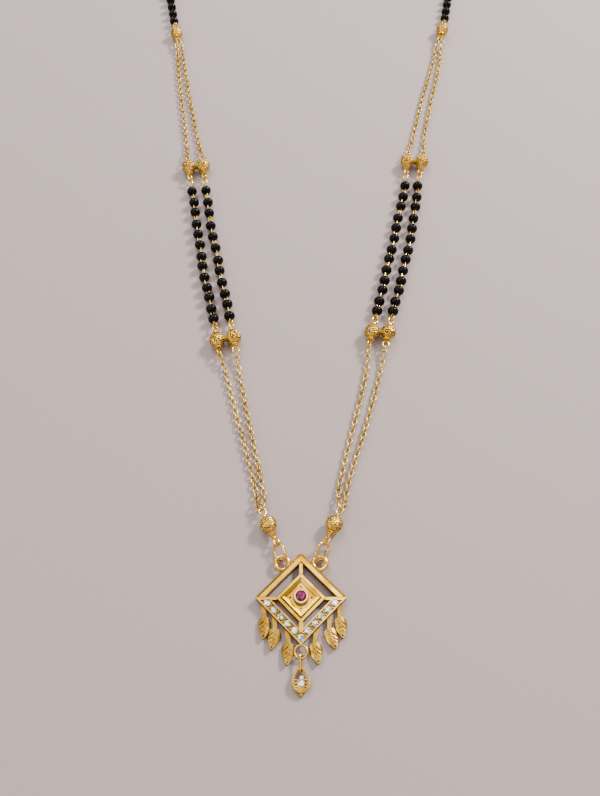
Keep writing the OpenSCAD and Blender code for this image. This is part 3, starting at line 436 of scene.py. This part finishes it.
def set_beads(name, places, material, seed, *nodes):
    """Threads beads on their places, each leaning and swelling a little by sines of its
    number."""
    form, faces = bead_form()
    k = np.arange(len(places))
    ahead = headings(places)
    lean = np.radians(BEAD_LEAN) * np.sin(2.1 * k + seed)
    side = unit(np.cross(UP, ahead))
    ahead = unit(ahead + np.tan(lean)[:, None] * side)
    across, square = frames(ahead, BEAD_TURN * k)
    size = 1 - BEAD_SHRINK * (1 + np.sin(3.7 * k + seed))
    points = place_forms(form, places, ahead * size[:, None], across * size[:, None],
                         square * size[:, None])
    return piece(name, *repeated(points, faces), material, "black_bead", *nodes)


def bead_start(eye):
    """Distance from a pin's eye to the middle of a string's first bead, past an eye of a
    given length and its neck."""
    return SLACK + eye - EYE_WIRE + NECK + BEAD_LEN / 2


def string_places(upper, lower, count, route):
    """Middles of a string's beads, from its upper to its lower ball."""
    first = on_pin(upper, -pin_of(upper)[0] - bead_start(LONG_EYE))
    last = on_pin(lower, pin_of(lower)[1] + bead_start(SHORT_EYE))
    line = smooth_line([first, *route, last], 6)
    total = run_of(line)[-1]
    i = np.arange(count)
    u = i / (count - 1)
    inner = ((i > 0) & (i < count - 1)).astype(float)
    s = total * (u + BEAD_SPREAD * u * (1 - u)) + inner * BEAD_STRAY * np.sin(np.radians(137 * i))
    ahead = unit(along(line, np.minimum(s + 1, total)) - along(line, np.maximum(s - 1, 0)))
    sway = (inner * BEAD_SWAY * np.sin(np.radians(83 * i)))[:, None]
    flat = along(line, s) + sway * np.column_stack([-ahead[:, 1], ahead[:, 0]])
    return np.column_stack([flat, np.full(count, BEAD_D / 2)])


def back_places(ball, side, route):
    """Middles of the beads of a single string, from its top ball to the clasp."""
    first = on_pin(ball, pin_of(ball)[1] + bead_start(SHORT_EYE))
    last = CLASP_PLACE + [side * (CLASP_HOLD + bead_start(SHORT_EYE) - SLACK), 0]
    line = smooth_line([first, *route, last], 6)
    total = run_of(line)[-1]
    count = round(total / BEAD_PITCH)
    flat = along(line, total * np.arange(count + 1) / count)
    return np.column_stack([flat, np.full(count + 1, BEAD_D / 2)])


# Wires through the beads
def rod(start, end, r, sides=10):
    """Straight wire: a circle carried from one point to another, closed by a tiny circle at
    each end."""
    ahead = unit(end - start)
    side = unit(np.cross(UP, ahead))
    top = np.cross(ahead, side)
    turn = 2 * np.pi * np.arange(sides) / sides
    ring = np.cos(turn)[:, None] * side + np.sin(turn)[:, None] * top
    where = np.array([0, 0, 1, 1])
    radius = np.array([0.05, 1, 1, 0.05]) * r
    points = start + where[:, None, None] * (end - start) + radius[:, None, None] * ring
    return points.reshape(-1, 3), grid_faces(4, sides, close_rows=False)


def end_eye(hold, bead, length, roll):
    """Eye that ends a string: an oval wire ring from the point where it holds a pin's eye,
    and a straight neck from its far end into the bead."""
    ahead = unit(bead - hold)
    across, square = frames(ahead[None], np.array([roll]))
    half = (length - EYE_WIRE) / 2
    form, faces = oval_wire(half, (EYE_W - EYE_WIRE) / 2, STRING_WIRE_R, 24, 8, 0.95)
    ring = place_forms(form, (hold + half * ahead)[None], ahead[None], across, square)
    neck = rod(hold + 2 * half * ahead, bead, STRING_WIRE_R)
    return [repeated(ring, faces), neck]


def make_string(name, places, ends, material, *nodes):
    """Wire of a string: in each gap a long oval wire loop from the middle of one bead to the
    middle of the next, hooked to its neighbours inside the beads, and an eye at each end."""
    start, end = places[:-1], places[1:]
    span = np.linalg.norm(end - start, axis=1)
    ahead = unit(end - start)
    k = np.arange(len(span))
    across, square = frames(ahead, LOOP_ROLL + LOOP_TURN * k)
    form, faces = oval_wire(0.5, LOOP_HALF_W, LOOP_WIRE_R, 16, 6, 0.7)
    stretch = (span + 2 * LOOP_WIRE_R)[:, None, None]
    points = place_forms(form, (start + end) / 2, ahead, across, square)
    points += form[None, :, :1] * (stretch - 1) * ahead[:, None]
    parts = [repeated(points, faces)]
    parts += end_eye(*ends[0]) + end_eye(*ends[1])
    return piece(name, *joined(parts), material, "wire_gold", *nodes)


# Finishes
class Sheet:
    """Adds nodes to a node tree, sets their values and joins their sockets."""

    def __init__(self, tree):
        self.tree = tree

    def add(self, kind, inputs=None, **settings):
        node = self.tree.nodes.new(kind)
        for name, value in settings.items():
            setattr(node, name, value)
        for key, value in (inputs or {}).items():
            if isinstance(value, bpy.types.NodeSocket):
                self.tree.links.new(value, node.inputs[key])
            else:
                node.inputs[key].default_value = value
        return node

    def math(self, operation, *values):
        node = self.add("ShaderNodeMath", dict(enumerate(values)), operation=operation)
        return node.outputs[0]

    def times(self, first, second):
        """Product of two values."""
        return self.math("MULTIPLY", first, second)

    def plus(self, first, second):
        """Sum of two values."""
        return self.math("ADD", first, second)

    def rest(self, share):
        """What a share leaves of 1."""
        return self.math("SUBTRACT", 1.0, share)

    def mix(self, share, first, second):
        node = self.add("ShaderNodeMix", {0: share, 6: first, 7: second}, data_type="RGBA")
        return node.outputs[2]

    def ramp(self, value, low, high, to_low=0.0, to_high=1.0):
        node = self.add("ShaderNodeMapRange", {0: value, 1: low, 2: high, 3: to_low, 4: to_high},
                        interpolation_type="SMOOTHSTEP")
        return node.outputs[0]

    def noise(self, vector, scale, detail=3.0, roughness=0.55):
        node = self.add("ShaderNodeTexNoise", {
            "Vector": vector, "Scale": scale, "Detail": detail, "Roughness": roughness})
        return node.outputs[0]


def new_group(name, inputs, outputs):
    """Node group with named sockets: inputs and outputs are pairs of a name and a kind."""
    tree = bpy.data.node_groups.new(name, "ShaderNodeTree")
    for way, sockets in (("INPUT", inputs), ("OUTPUT", outputs)):
        for label, kind in sockets:
            tree.interface.new_socket(label, in_out=way, socket_type="NodeSocket" + kind)
    sheet = Sheet(tree)
    return tree, sheet, sheet.add("NodeGroupInput").outputs, sheet.add("NodeGroupOutput").inputs


def make_worn_gold():
    """Patches of two golds with a rougher film in the deeper one, and a fine grain for the
    bump: one wide noise blends the colours, and a narrow one is the grain."""
    tree, sheet, given, out = new_group(
        "worn_gold",
        [("Light", "Color"), ("Deep", "Color"), ("Patches", "Float"), ("Grain", "Float"),
         ("Polish", "Float"), ("Film", "Float")],
        [("Colour", "Color"), ("Roughness", "Float"), ("Height", "Float")])
    place = sheet.add("ShaderNodeTexCoord").outputs["Object"]
    wide = sheet.ramp(sheet.noise(place, given["Patches"]), 0.36, 0.66)
    fine = sheet.noise(place, given["Grain"], 4.0, 0.6)
    colour = sheet.mix(wide, given["Deep"], given["Light"])
    tree.links.new(colour, out["Colour"])
    film = sheet.times(sheet.rest(wide), given["Film"])
    speck = sheet.times(sheet.math("SUBTRACT", fine, 0.5), 0.12)
    rough = sheet.plus(sheet.plus(film, given["Polish"]), speck)
    tree.links.new(sheet.math("MAXIMUM", rough, 0.04), out["Roughness"])
    tree.links.new(fine, out["Height"])
    return tree


def new_material(name):
    """Material with its sheet and its shader."""
    material = bpy.data.materials.new(name)
    material.use_nodes = True
    sheet = Sheet(material.node_tree)
    return material, sheet, material.node_tree.nodes["Principled BSDF"]


def place_gold(sheet, light, deep, patches, grain, polish, film):
    """Puts the worn gold group into a material, and gives its outputs."""
    node = sheet.add("ShaderNodeGroup", node_tree=WORN_GOLD)
    for label, value in (("Light", (*light, 1)), ("Deep", (*deep, 1)), ("Patches", patches),
                         ("Grain", grain), ("Polish", polish), ("Film", film)):
        node.inputs[label].default_value = value
    return node.outputs


def finish_gold(sheet, shader, colour, roughness, height, depth):
    """Metal with a bump of a given depth in metres."""
    links = sheet.tree.links
    shader.inputs["Metallic"].default_value = 1.0
    links.new(colour, shader.inputs["Base Color"])
    links.new(roughness, shader.inputs["Roughness"])
    bump = sheet.add("ShaderNodeBump", {"Strength": 1.0, "Distance": depth, "Height": height})
    links.new(bump.outputs[0], shader.inputs["Normal"])


def plain_gold(name, light, deep, patches, grain, polish, film, depth):
    """Worn gold alone, for wires and links."""
    material, sheet, shader = new_material(name)
    gold = place_gold(sheet, light, deep, patches, grain, polish, film)
    finish_gold(sheet, shader, gold["Colour"], gold["Roughness"], gold["Height"], depth)
    return material


def make_ball_gold():
    """Gold that is light on the ridges of the ball's relief, with painted shade turning its
    grooves brown.
    """
    material, sheet, shader = new_material("ball_gold")
    gold = place_gold(sheet, BALL_LIGHT, BALL_DEEP, 700, 7000, 0.22, 0.14)
    relief = sheet.add("ShaderNodeAttribute", attribute_name="relief").outputs["Fac"]
    ridge = sheet.ramp(relief, 0.22, 0.80)
    # Painted shade: the grooves between the ridges turn dark brown.
    colour = sheet.mix(ridge, (0.12, 0.042, 0.004, 1), gold["Colour"])
    rough = sheet.plus(gold["Roughness"],
                       sheet.times(sheet.rest(ridge), 0.25))
    finish_gold(sheet, shader, colour, rough, gold["Height"], 1.2e-5)
    return material


def facet_tone(sheet, steps):
    """A number from 0 to 1 that is the same all over a facet: a random value of the facet's
    own direction, rounded."""
    normal = sheet.add("ShaderNodeNewGeometry").outputs["True Normal"]
    snapped = sheet.add("ShaderNodeVectorMath", {0: normal, 1: (1 / steps,) * 3},
                        operation="SNAP").outputs[0]
    return sheet.add("ShaderNodeTexWhiteNoise", {"Vector": snapped},
                     noise_dimensions="3D").outputs["Value"]


def cell_tone(sheet, place, scale):
    """Random tone from 0 to 1 of small angular cells: painted reflections of the back facets of a
    cut stone, as they show through its table."""
    cells = sheet.add("ShaderNodeTexVoronoi", {"Vector": place, "Scale": scale, "Randomness": 0.8},
                      distance="MANHATTAN").outputs["Color"]
    return sheet.ramp(sheet.add("ShaderNodeSeparateColor", {0: cells}).outputs[0], 0.2, 0.8)


def steep_walls(sheet, shallow, steep):
    """Mask of the faces that stand upright: 1 where the face's own normal points sideways."""
    normal = sheet.add("ShaderNodeNewGeometry").outputs["True Normal"]
    rise = sheet.math("ABSOLUTE", sheet.add("ShaderNodeSeparateXYZ", {0: normal}).outputs[2])
    return sheet.ramp(rise, shallow, steep)


# Bands of the pendant, in metres: each mask grows from 0 at the first place to 1 at the
# second. Reach is the sum of the distances across and along, and out the distance from
# the middle of the red stone.
LEAF_REACH, LEAF_BELOW = (0.0094, 0.0097), (-0.0012, -0.0030)
CHANNEL_REACH, CHANNEL_BELOW = (0.0063, 0.0066), (0.0006, -0.0004)
CHANNEL_SUNK, PIT_SUNK = (0.00165, 0.00145), (0.00140, 0.00120)
COLLAR_OUT, COLLAR_UP = (0.0021, 0.0020), (0.0026, 0.0027)
INNER_REACH = (0.0088, 0.0082)
DROP_BELOW, BESIDE_DROP = (-0.0125, -0.0135), (0.0014, 0.0018)
# Masks from a face's own rise and from the height of a leaf's ridges
UPRIGHT, BETWEEN_RIDGES = (0.55, 0.15), (0.55, 0.15)
# Painted shade: olive on the channel floor, and brown in deep places, on upright walls and between
# the leaves' ridges
PAINTED_CHANNEL_SHADE, PAINTED_PIT_SHADE = (0.17, 0.115, 0.035, 1), (0.12, 0.045, 0.006, 1)
PAINTED_WALL_SHADE, PAINTED_VEIN_SHADE = (0.15, 0.055, 0.006, 1), (0.20, 0.085, 0.010, 1)
# Painted highlight: pale gold on the collar round the red stone
COLLAR_HIGHLIGHT = (1.0, 0.70, 0.27, 1)
# Turn of the leaves' ridges, in radians
RIDGE_TURN = 0.9


def make_pendant_gold():
    """Polished bars inside the square, with painted shade: brown on upright walls, most inside the
    square, dark brown in deep places and olive on the channel floor, and a painted highlight that
    makes the collar round the red stone pale. Satin leaves outside the square have fine slanting
    ridges, with painted brown shade between them. The leaves are where the sum of the distances
    across and along passes the square's reach, and the drop, which has no brown, is nearest to the
    middle line."""
    material, sheet, shader = new_material("pendant_gold")
    place = sheet.add("ShaderNodeTexCoord").outputs["Object"]
    split = sheet.add("ShaderNodeSeparateXYZ", {0: place}).outputs
    across = sheet.math("ABSOLUTE", split[0])
    reach = sheet.plus(across, sheet.math("ABSOLUTE", split[1]))
    outside = sheet.ramp(reach, *LEAF_REACH)
    below = sheet.ramp(split[1], *LEAF_BELOW)
    leaf = sheet.times(outside, below)
    bars = place_gold(sheet, BAR_LIGHT, BAR_DEEP, 260, 2600, 0.15, 0.10)
    satin = place_gold(sheet, LEAF_LIGHT, LEAF_DEEP, 420, 5200, 0.26, 0.12)
    mirrored = sheet.add("ShaderNodeCombineXYZ", {0: across, 1: split[1], 2: split[2]}).outputs[0]
    turned = sheet.add("ShaderNodeMapping", {"Vector": mirrored, "Rotation": (0, 0, RIDGE_TURN)})
    ridges = sheet.add("ShaderNodeTexWave", {
        "Vector": turned.outputs[0], "Scale": 820.0, "Distortion": 2.2, "Detail": 2.0,
        "Detail Scale": 1.5}).outputs[1]
    channel = sheet.times(sheet.ramp(reach, *CHANNEL_REACH), sheet.ramp(split[1], *CHANNEL_BELOW))
    sunk = sheet.ramp(split[2], *CHANNEL_SUNK)
    # Painted shade: the sunk floor of the channel is tinted olive.
    channel_shade = sheet.times(sheet.times(channel, sunk), 0.75)
    # Painted shade: low places away from the leaves turn dark brown.
    pit_shade = sheet.ramp(split[2], *PIT_SUNK)
    deep = sheet.times(pit_shade, sheet.rest(leaf))
    dark = sheet.mix(channel_shade, bars["Colour"], PAINTED_CHANNEL_SHADE)
    dark = sheet.mix(sheet.times(deep, 0.8), dark, PAINTED_PIT_SHADE)
    flat = sheet.add("ShaderNodeCombineXYZ", {0: split[0], 1: split[1]}).outputs[0]
    out = sheet.add("ShaderNodeVectorMath", {0: flat}, operation="LENGTH").outputs[1]
    # Painted highlight: the raised collar round the red stone is made pale.
    collar = sheet.times(sheet.ramp(out, *COLLAR_OUT), sheet.ramp(split[2], *COLLAR_UP))
    pale = sheet.mix(sheet.times(collar, 0.8), dark, COLLAR_HIGHLIGHT)
    # Painted shade: brown between the leaves' ridges, away from the middle line.
    beside = sheet.times(sheet.ramp(across, *BESIDE_DROP), 0.55)
    veined = sheet.mix(sheet.times(sheet.ramp(ridges, *BETWEEN_RIDGES), beside),
                       satin["Colour"], PAINTED_VEIN_SHADE)
    colour = sheet.mix(leaf, pale, veined)
    # Painted shade: upright walls turn brown, most where the square or the drop encloses them and
    # on the leaves.
    walls = steep_walls(sheet, *UPRIGHT)
    enclosed = sheet.math("MAXIMUM", sheet.ramp(reach, *INNER_REACH),
                          sheet.ramp(split[1], *DROP_BELOW))
    open_air = sheet.times(sheet.rest(enclosed), sheet.rest(leaf))
    shade = sheet.math("SUBTRACT", 0.92, sheet.times(open_air, 0.75))
    colour = sheet.mix(sheet.times(walls, shade), colour, PAINTED_WALL_SHADE)
    rough = sheet.add("ShaderNodeMix", {0: leaf, 2: bars["Roughness"], 3: satin["Roughness"]})
    dull = sheet.plus(rough.outputs[0], sheet.times(walls, 0.25))
    scored = sheet.plus(sheet.times(ridges, 0.3), satin["Height"])
    height = sheet.add("ShaderNodeMix", {
        0: leaf, 2: sheet.times(bars["Height"], 0.3), 3: scored})
    finish_gold(sheet, shader, colour, dull, height.outputs[0], 0.00002)
    return material


def make_bead_black():
    """Black glass with faint clouds and shallow pits."""
    material, sheet, shader = new_material("bead_black")
    place = sheet.add("ShaderNodeTexCoord").outputs["Object"]
    cloud = sheet.ramp(sheet.noise(place, 330.0), 0.35, 0.7)
    pits = sheet.noise(place, 1900.0, 2.0)
    links = sheet.tree.links
    links.new(sheet.mix(cloud, (0.0008, 0.0006, 0.0006, 1), (0.002, 0.0015, 0.0018, 1)),
              shader.inputs["Base Color"])
    links.new(sheet.plus(sheet.times(cloud, 0.08), 0.10), shader.inputs["Roughness"])
    bump = sheet.add("ShaderNodeBump", {"Strength": 1.0, "Distance": 0.00001, "Height": pits})
    links.new(bump.outputs[0], shader.inputs["Normal"])
    shader.inputs["Specular IOR Level"].default_value = 0.12
    return material


# Painted shade on the red stone: from where it starts to darken towards its rim to where it is
# darkest, in metres
RED_RIM_SHADE = (0.00078, 0.00105)


def make_red_stone():
    """Clear red stone with painted facet glints, and painted shade towards its rim, whose distance
    is measured from the middle.
    """
    material, sheet, shader = new_material("red_stone")
    place = sheet.add("ShaderNodeTexCoord").outputs["Object"]
    split = sheet.add("ShaderNodeSeparateXYZ", {0: place}).outputs
    reach = sheet.math("SQRT", sheet.plus(sheet.times(split[0], split[0]),
                                          sheet.times(split[1], split[1])))
    rim = sheet.ramp(reach, *RED_RIM_SHADE)
    # Painted glints of the back facets in the stone's middle.
    painted_glints = cell_tone(sheet, place, 1500.0)
    heart = sheet.mix(painted_glints, (0.07, 0.0, 0.022, 1), (0.33, 0.003, 0.12, 1))
    colour = sheet.mix(rim, heart, (0.06, 0.0, 0.012, 1))
    sheet.tree.links.new(colour, shader.inputs["Base Color"])
    shader.inputs["Roughness"].default_value = 0.05
    shader.inputs["IOR"].default_value = 1.45
    shader.inputs["Specular IOR Level"].default_value = 0.3
    return material


def make_clear_stone():
    """Bright cut stone with painted reflections: each facet has its own tone, from grey lilac to
    white, and a fine noise adds painted fire.
    """
    material, sheet, shader = new_material("clear_stone")
    place = sheet.add("ShaderNodeTexCoord").outputs["Object"]
    painted_fire = sheet.ramp(sheet.noise(place, 1500.0, 1.0), 0.35, 0.65)
    bright = sheet.mix(painted_fire, (0.92, 0.83, 0.94, 1), (1.0, 0.99, 0.97, 1))
    # Painted reflections: facets and small cells darken to grey lilac at random.
    tone = sheet.times(sheet.ramp(facet_tone(sheet, 5), 0.0, 0.35),
                       sheet.ramp(cell_tone(sheet, place, 2300.0), 0.0, 0.5))
    colour = sheet.mix(tone, (0.16, 0.13, 0.17, 1), bright)
    sheet.tree.links.new(colour, shader.inputs["Base Color"])
    shader.inputs["Metallic"].default_value = 0.25
    shader.inputs["Roughness"].default_value = 0.06
    shader.inputs["IOR"].default_value = 2.3
    return material


def make_floor_paper():
    """Smooth pale paper with painted light: a little lighter away from the camera and to its
    right.
    """
    material, sheet, shader = new_material("floor_paper")
    place = sheet.add("ShaderNodeTexCoord").outputs["Object"]
    split = sheet.add("ShaderNodeSeparateXYZ", {0: place}).outputs
    # Painted light: the colour grows lighter away from the camera and to its right, where the key
    # lamp stands.
    far = sheet.ramp(sheet.plus(sheet.times(split[0], 0.7), split[1]),
                     -0.06, 0.26)
    colour = sheet.mix(far, (0.325, 0.260, 0.248, 1), (0.352, 0.283, 0.277, 1))
    sheet.tree.links.new(colour, shader.inputs["Base Color"])
    shader.inputs["Roughness"].default_value = 0.8
    shader.inputs["Specular IOR Level"].default_value = 0.2
    return material


# Light and deep tone of each gold
BAR_LIGHT, BAR_DEEP = (0.93, 0.58, 0.07), (0.66, 0.34, 0.015)
LEAF_LIGHT, LEAF_DEEP = (0.80, 0.50, 0.08), (0.42, 0.22, 0.02)
WIRE_LIGHT, WIRE_DEEP = (0.90, 0.60, 0.12), (0.60, 0.34, 0.03)
CHAIN_LIGHT, CHAIN_DEEP = (0.74, 0.52, 0.15), (0.42, 0.26, 0.045)
BALL_LIGHT, BALL_DEEP = (0.94, 0.65, 0.14), (0.70, 0.40, 0.05)
WORN_GOLD = make_worn_gold()
PENDANT_GOLD = make_pendant_gold()
WIRE_GOLD = plain_gold("wire_gold", WIRE_LIGHT, WIRE_DEEP, 300, 3000, 0.13, 0.08, 4e-6)
BALL_GOLD = make_ball_gold()
CHAIN_GOLD = plain_gold("chain_gold", CHAIN_LIGHT, CHAIN_DEEP, 500, 4000, 0.30, 0.12, 5e-6)
BEAD_BLACK = make_bead_black()
RED_STONE = make_red_stone()
CLEAR_STONE = make_clear_stone()

# The necklace's own pieces
for node, row in CHAINS.items():
    make_chain(node, *row, CHAIN_GOLD)

for seed, ball in enumerate(("low_left", "low_right", "top_left", "top_right")):
    height, side = ball.split("_")
    points, faces, relief = ball_form(ball, LOW_WOUND if height == "low" else WOUND, 1.7 * seed)
    piece("engraved_ball_" + ball, points, faces, BALL_GOLD, "ball_gold",
          f"{height}_ball_{side}", relief=relief)

PAIRS = [(height, side) for height in ("middle", "upper") for side in ("left", "right")]
for seed, (height, side) in enumerate(PAIRS):
    pair = (f"{height}_{side}_outer", f"{height}_{side}_inner")
    forms = [ball_form(ball, WOUND, 8 + 1.3 * seed + k) for k, ball in enumerate(pair)]
    forms.append(solder_form(*pair))
    relief = np.concatenate([form[2] for form in forms])
    piece(f"soldered_balls_{height}_{side}", *joined([form[:2] for form in forms]), BALL_GOLD,
          "ball_gold", f"{height}_balls_{side}", relief=relief)

for seed, (side, (upper, lower, count, route)) in enumerate(STRINGS.items()):
    places = string_places(upper, lower, count, route)
    set_beads("black_beads_" + side, places, BEAD_BLACK, seed, "beads_" + side)
    top = np.array([*on_pin(upper, -pin_of(upper)[0] - SLACK), BALL_R])
    low = np.array([*on_pin(lower, pin_of(lower)[1] + SLACK), BALL_R])
    make_string("bead_wire_" + side, places,
                [(top, places[0], LONG_EYE, EYE_ROLL), (low, places[-1], SHORT_EYE, -EYE_ROLL)],
                WIRE_GOLD, "thread_" + side)

for seed, (side, (ball, turn, route)) in enumerate(BACK_STRINGS.items()):
    places = back_places(ball, turn, route)
    set_beads("back_black_beads_" + side, places, BEAD_BLACK, 5 + seed, "back_beads_" + side)
    low = np.array([*on_pin(ball, pin_of(ball)[1] + SLACK), BALL_R])
    clasp = np.array([*(CLASP_PLACE + [turn * CLASP_HOLD, 0]), CLASP_Z])
    make_string("back_wire_" + side, places,
                [(low, places[0], SHORT_EYE, -EYE_ROLL),
                 (clasp, places[-1], SHORT_EYE, -CLASP_ROLL)],
                WIRE_GOLD, "back_thread_" + side)


def finish_for(node):
    """Finish of a solid, by its name."""
    if node in ("pendant_frame", "drop_frame"):
        return PENDANT_GOLD
    if node == "red_stone":
        return RED_STONE
    if "stone" in node:
        return CLEAR_STONE
    if "ball" in node:
        return BALL_GOLD
    if "beads" in node:
        return BEAD_BLACK
    return CHAIN_GOLD if "chain" in node else WIRE_GOLD


for node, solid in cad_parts.items():
    solid.data.materials.clear()
    solid.data.materials.append(finish_for(node))

# Floor, light and camera, in metres
FLOOR_SIZE, FLOOR_DROP = 6, 0.00003
bpy.ops.mesh.primitive_grid_add(x_subdivisions=1, y_subdivisions=1, size=FLOOR_SIZE,
                                location=(0, 0, -FLOOR_DROP))
floor = bpy.context.object
floor.name = "floor"
floor.data.materials.append(make_floor_paper())


def lamp(name, place, aim, width, power, colour):
    """Square soft lamp at a place, turned to face an aim."""
    data = bpy.data.lights.new(name, "AREA")
    data.size, data.energy, data.color = width, power, colour
    made = bpy.data.objects.new(name, data)
    bpy.context.collection.objects.link(made)
    made.location = place
    turn = np.array(aim, float) - np.array(place, float)
    flat = math.hypot(turn[0], turn[1])
    heading = math.atan2(turn[1], turn[0])
    made.rotation_euler = (math.atan2(flat, -turn[2]), 0, heading - math.pi / 2)
    return made


# Lamps: place, aim and width in metres, power in watts, and colour
MID_NECKLACE = (0.0, 0.06, 0.0)
PENDANT = (0.0, 0.0, 0.0)
lamp("key_light", (0.52, 0.48, 0.52), MID_NECKLACE, 0.16, 14.0, (1.0, 0.97, 0.93))
lamp("top_light", (-0.20, 0.55, 0.70), MID_NECKLACE, 0.35, 4.2, (1.0, 0.98, 0.96))
lamp("sheen_light", (0.045, 0.165, 0.60), PENDANT, 0.075, 0.075, (1.0, 0.95, 0.84))
lamp("left_light", (-0.6, -0.1, 0.35), MID_NECKLACE, 0.25, 1.4, (0.95, 0.97, 1.0))

# The room that the gold mirrors: dark low down, with bright panels higher up. The camera
# sees one plain pale tone instead.
ROOM_DARK, PANEL_BRIGHT = (0.045, 0.035, 0.028, 1), (1.0, 0.98, 0.96, 1)
BACKDROP = (0.30, 0.275, 0.27, 1)
ROOM_STRENGTH = 1.9
world = bpy.data.worlds.new("studio")
bpy.context.scene.world = world
world.use_nodes = True
room = Sheet(world.node_tree)
around = room.add("ShaderNodeTexCoord").outputs["Generated"]
sky = room.add("ShaderNodeSeparateXYZ", {0: around})
level = room.ramp(sky.outputs[2], -0.10, 0.55)
panels = room.ramp(room.noise(around, 3.4, 1.0), 0.46, 0.57)
lit = room.times(level, room.plus(room.times(panels, 0.8), 0.2))
tone = room.mix(lit, ROOM_DARK, PANEL_BRIGHT)
seen = room.add("ShaderNodeLightPath").outputs["Is Camera Ray"]
tone = room.mix(seen, tone, BACKDROP)
ground = world.node_tree.nodes["Background"]
world.node_tree.links.new(tone, ground.inputs["Color"])
ground.inputs["Strength"].default_value = ROOM_STRENGTH

# Half the picture's height over the lens's distance, both in pixels, and the angle at
# which the camera looks down
HALF_HEIGHT, LENS_DISTANCE = 398, 750
LOOK_DOWN = 61.82
CAMERA_PLACE = (-0.0002, -0.03629, 0.15512)
camera_data = bpy.data.cameras.new("camera")
camera = bpy.data.objects.new("camera", camera_data)
bpy.context.collection.objects.link(camera)
camera_data.sensor_fit = "VERTICAL"
camera_data.angle_y = 2 * math.atan(HALF_HEIGHT / LENS_DISTANCE)
camera_data.clip_start = 0.002
camera.location = CAMERA_PLACE
camera.rotation_euler = (math.radians(90 - LOOK_DOWN), 0, 0)
bpy.context.scene.camera = camera
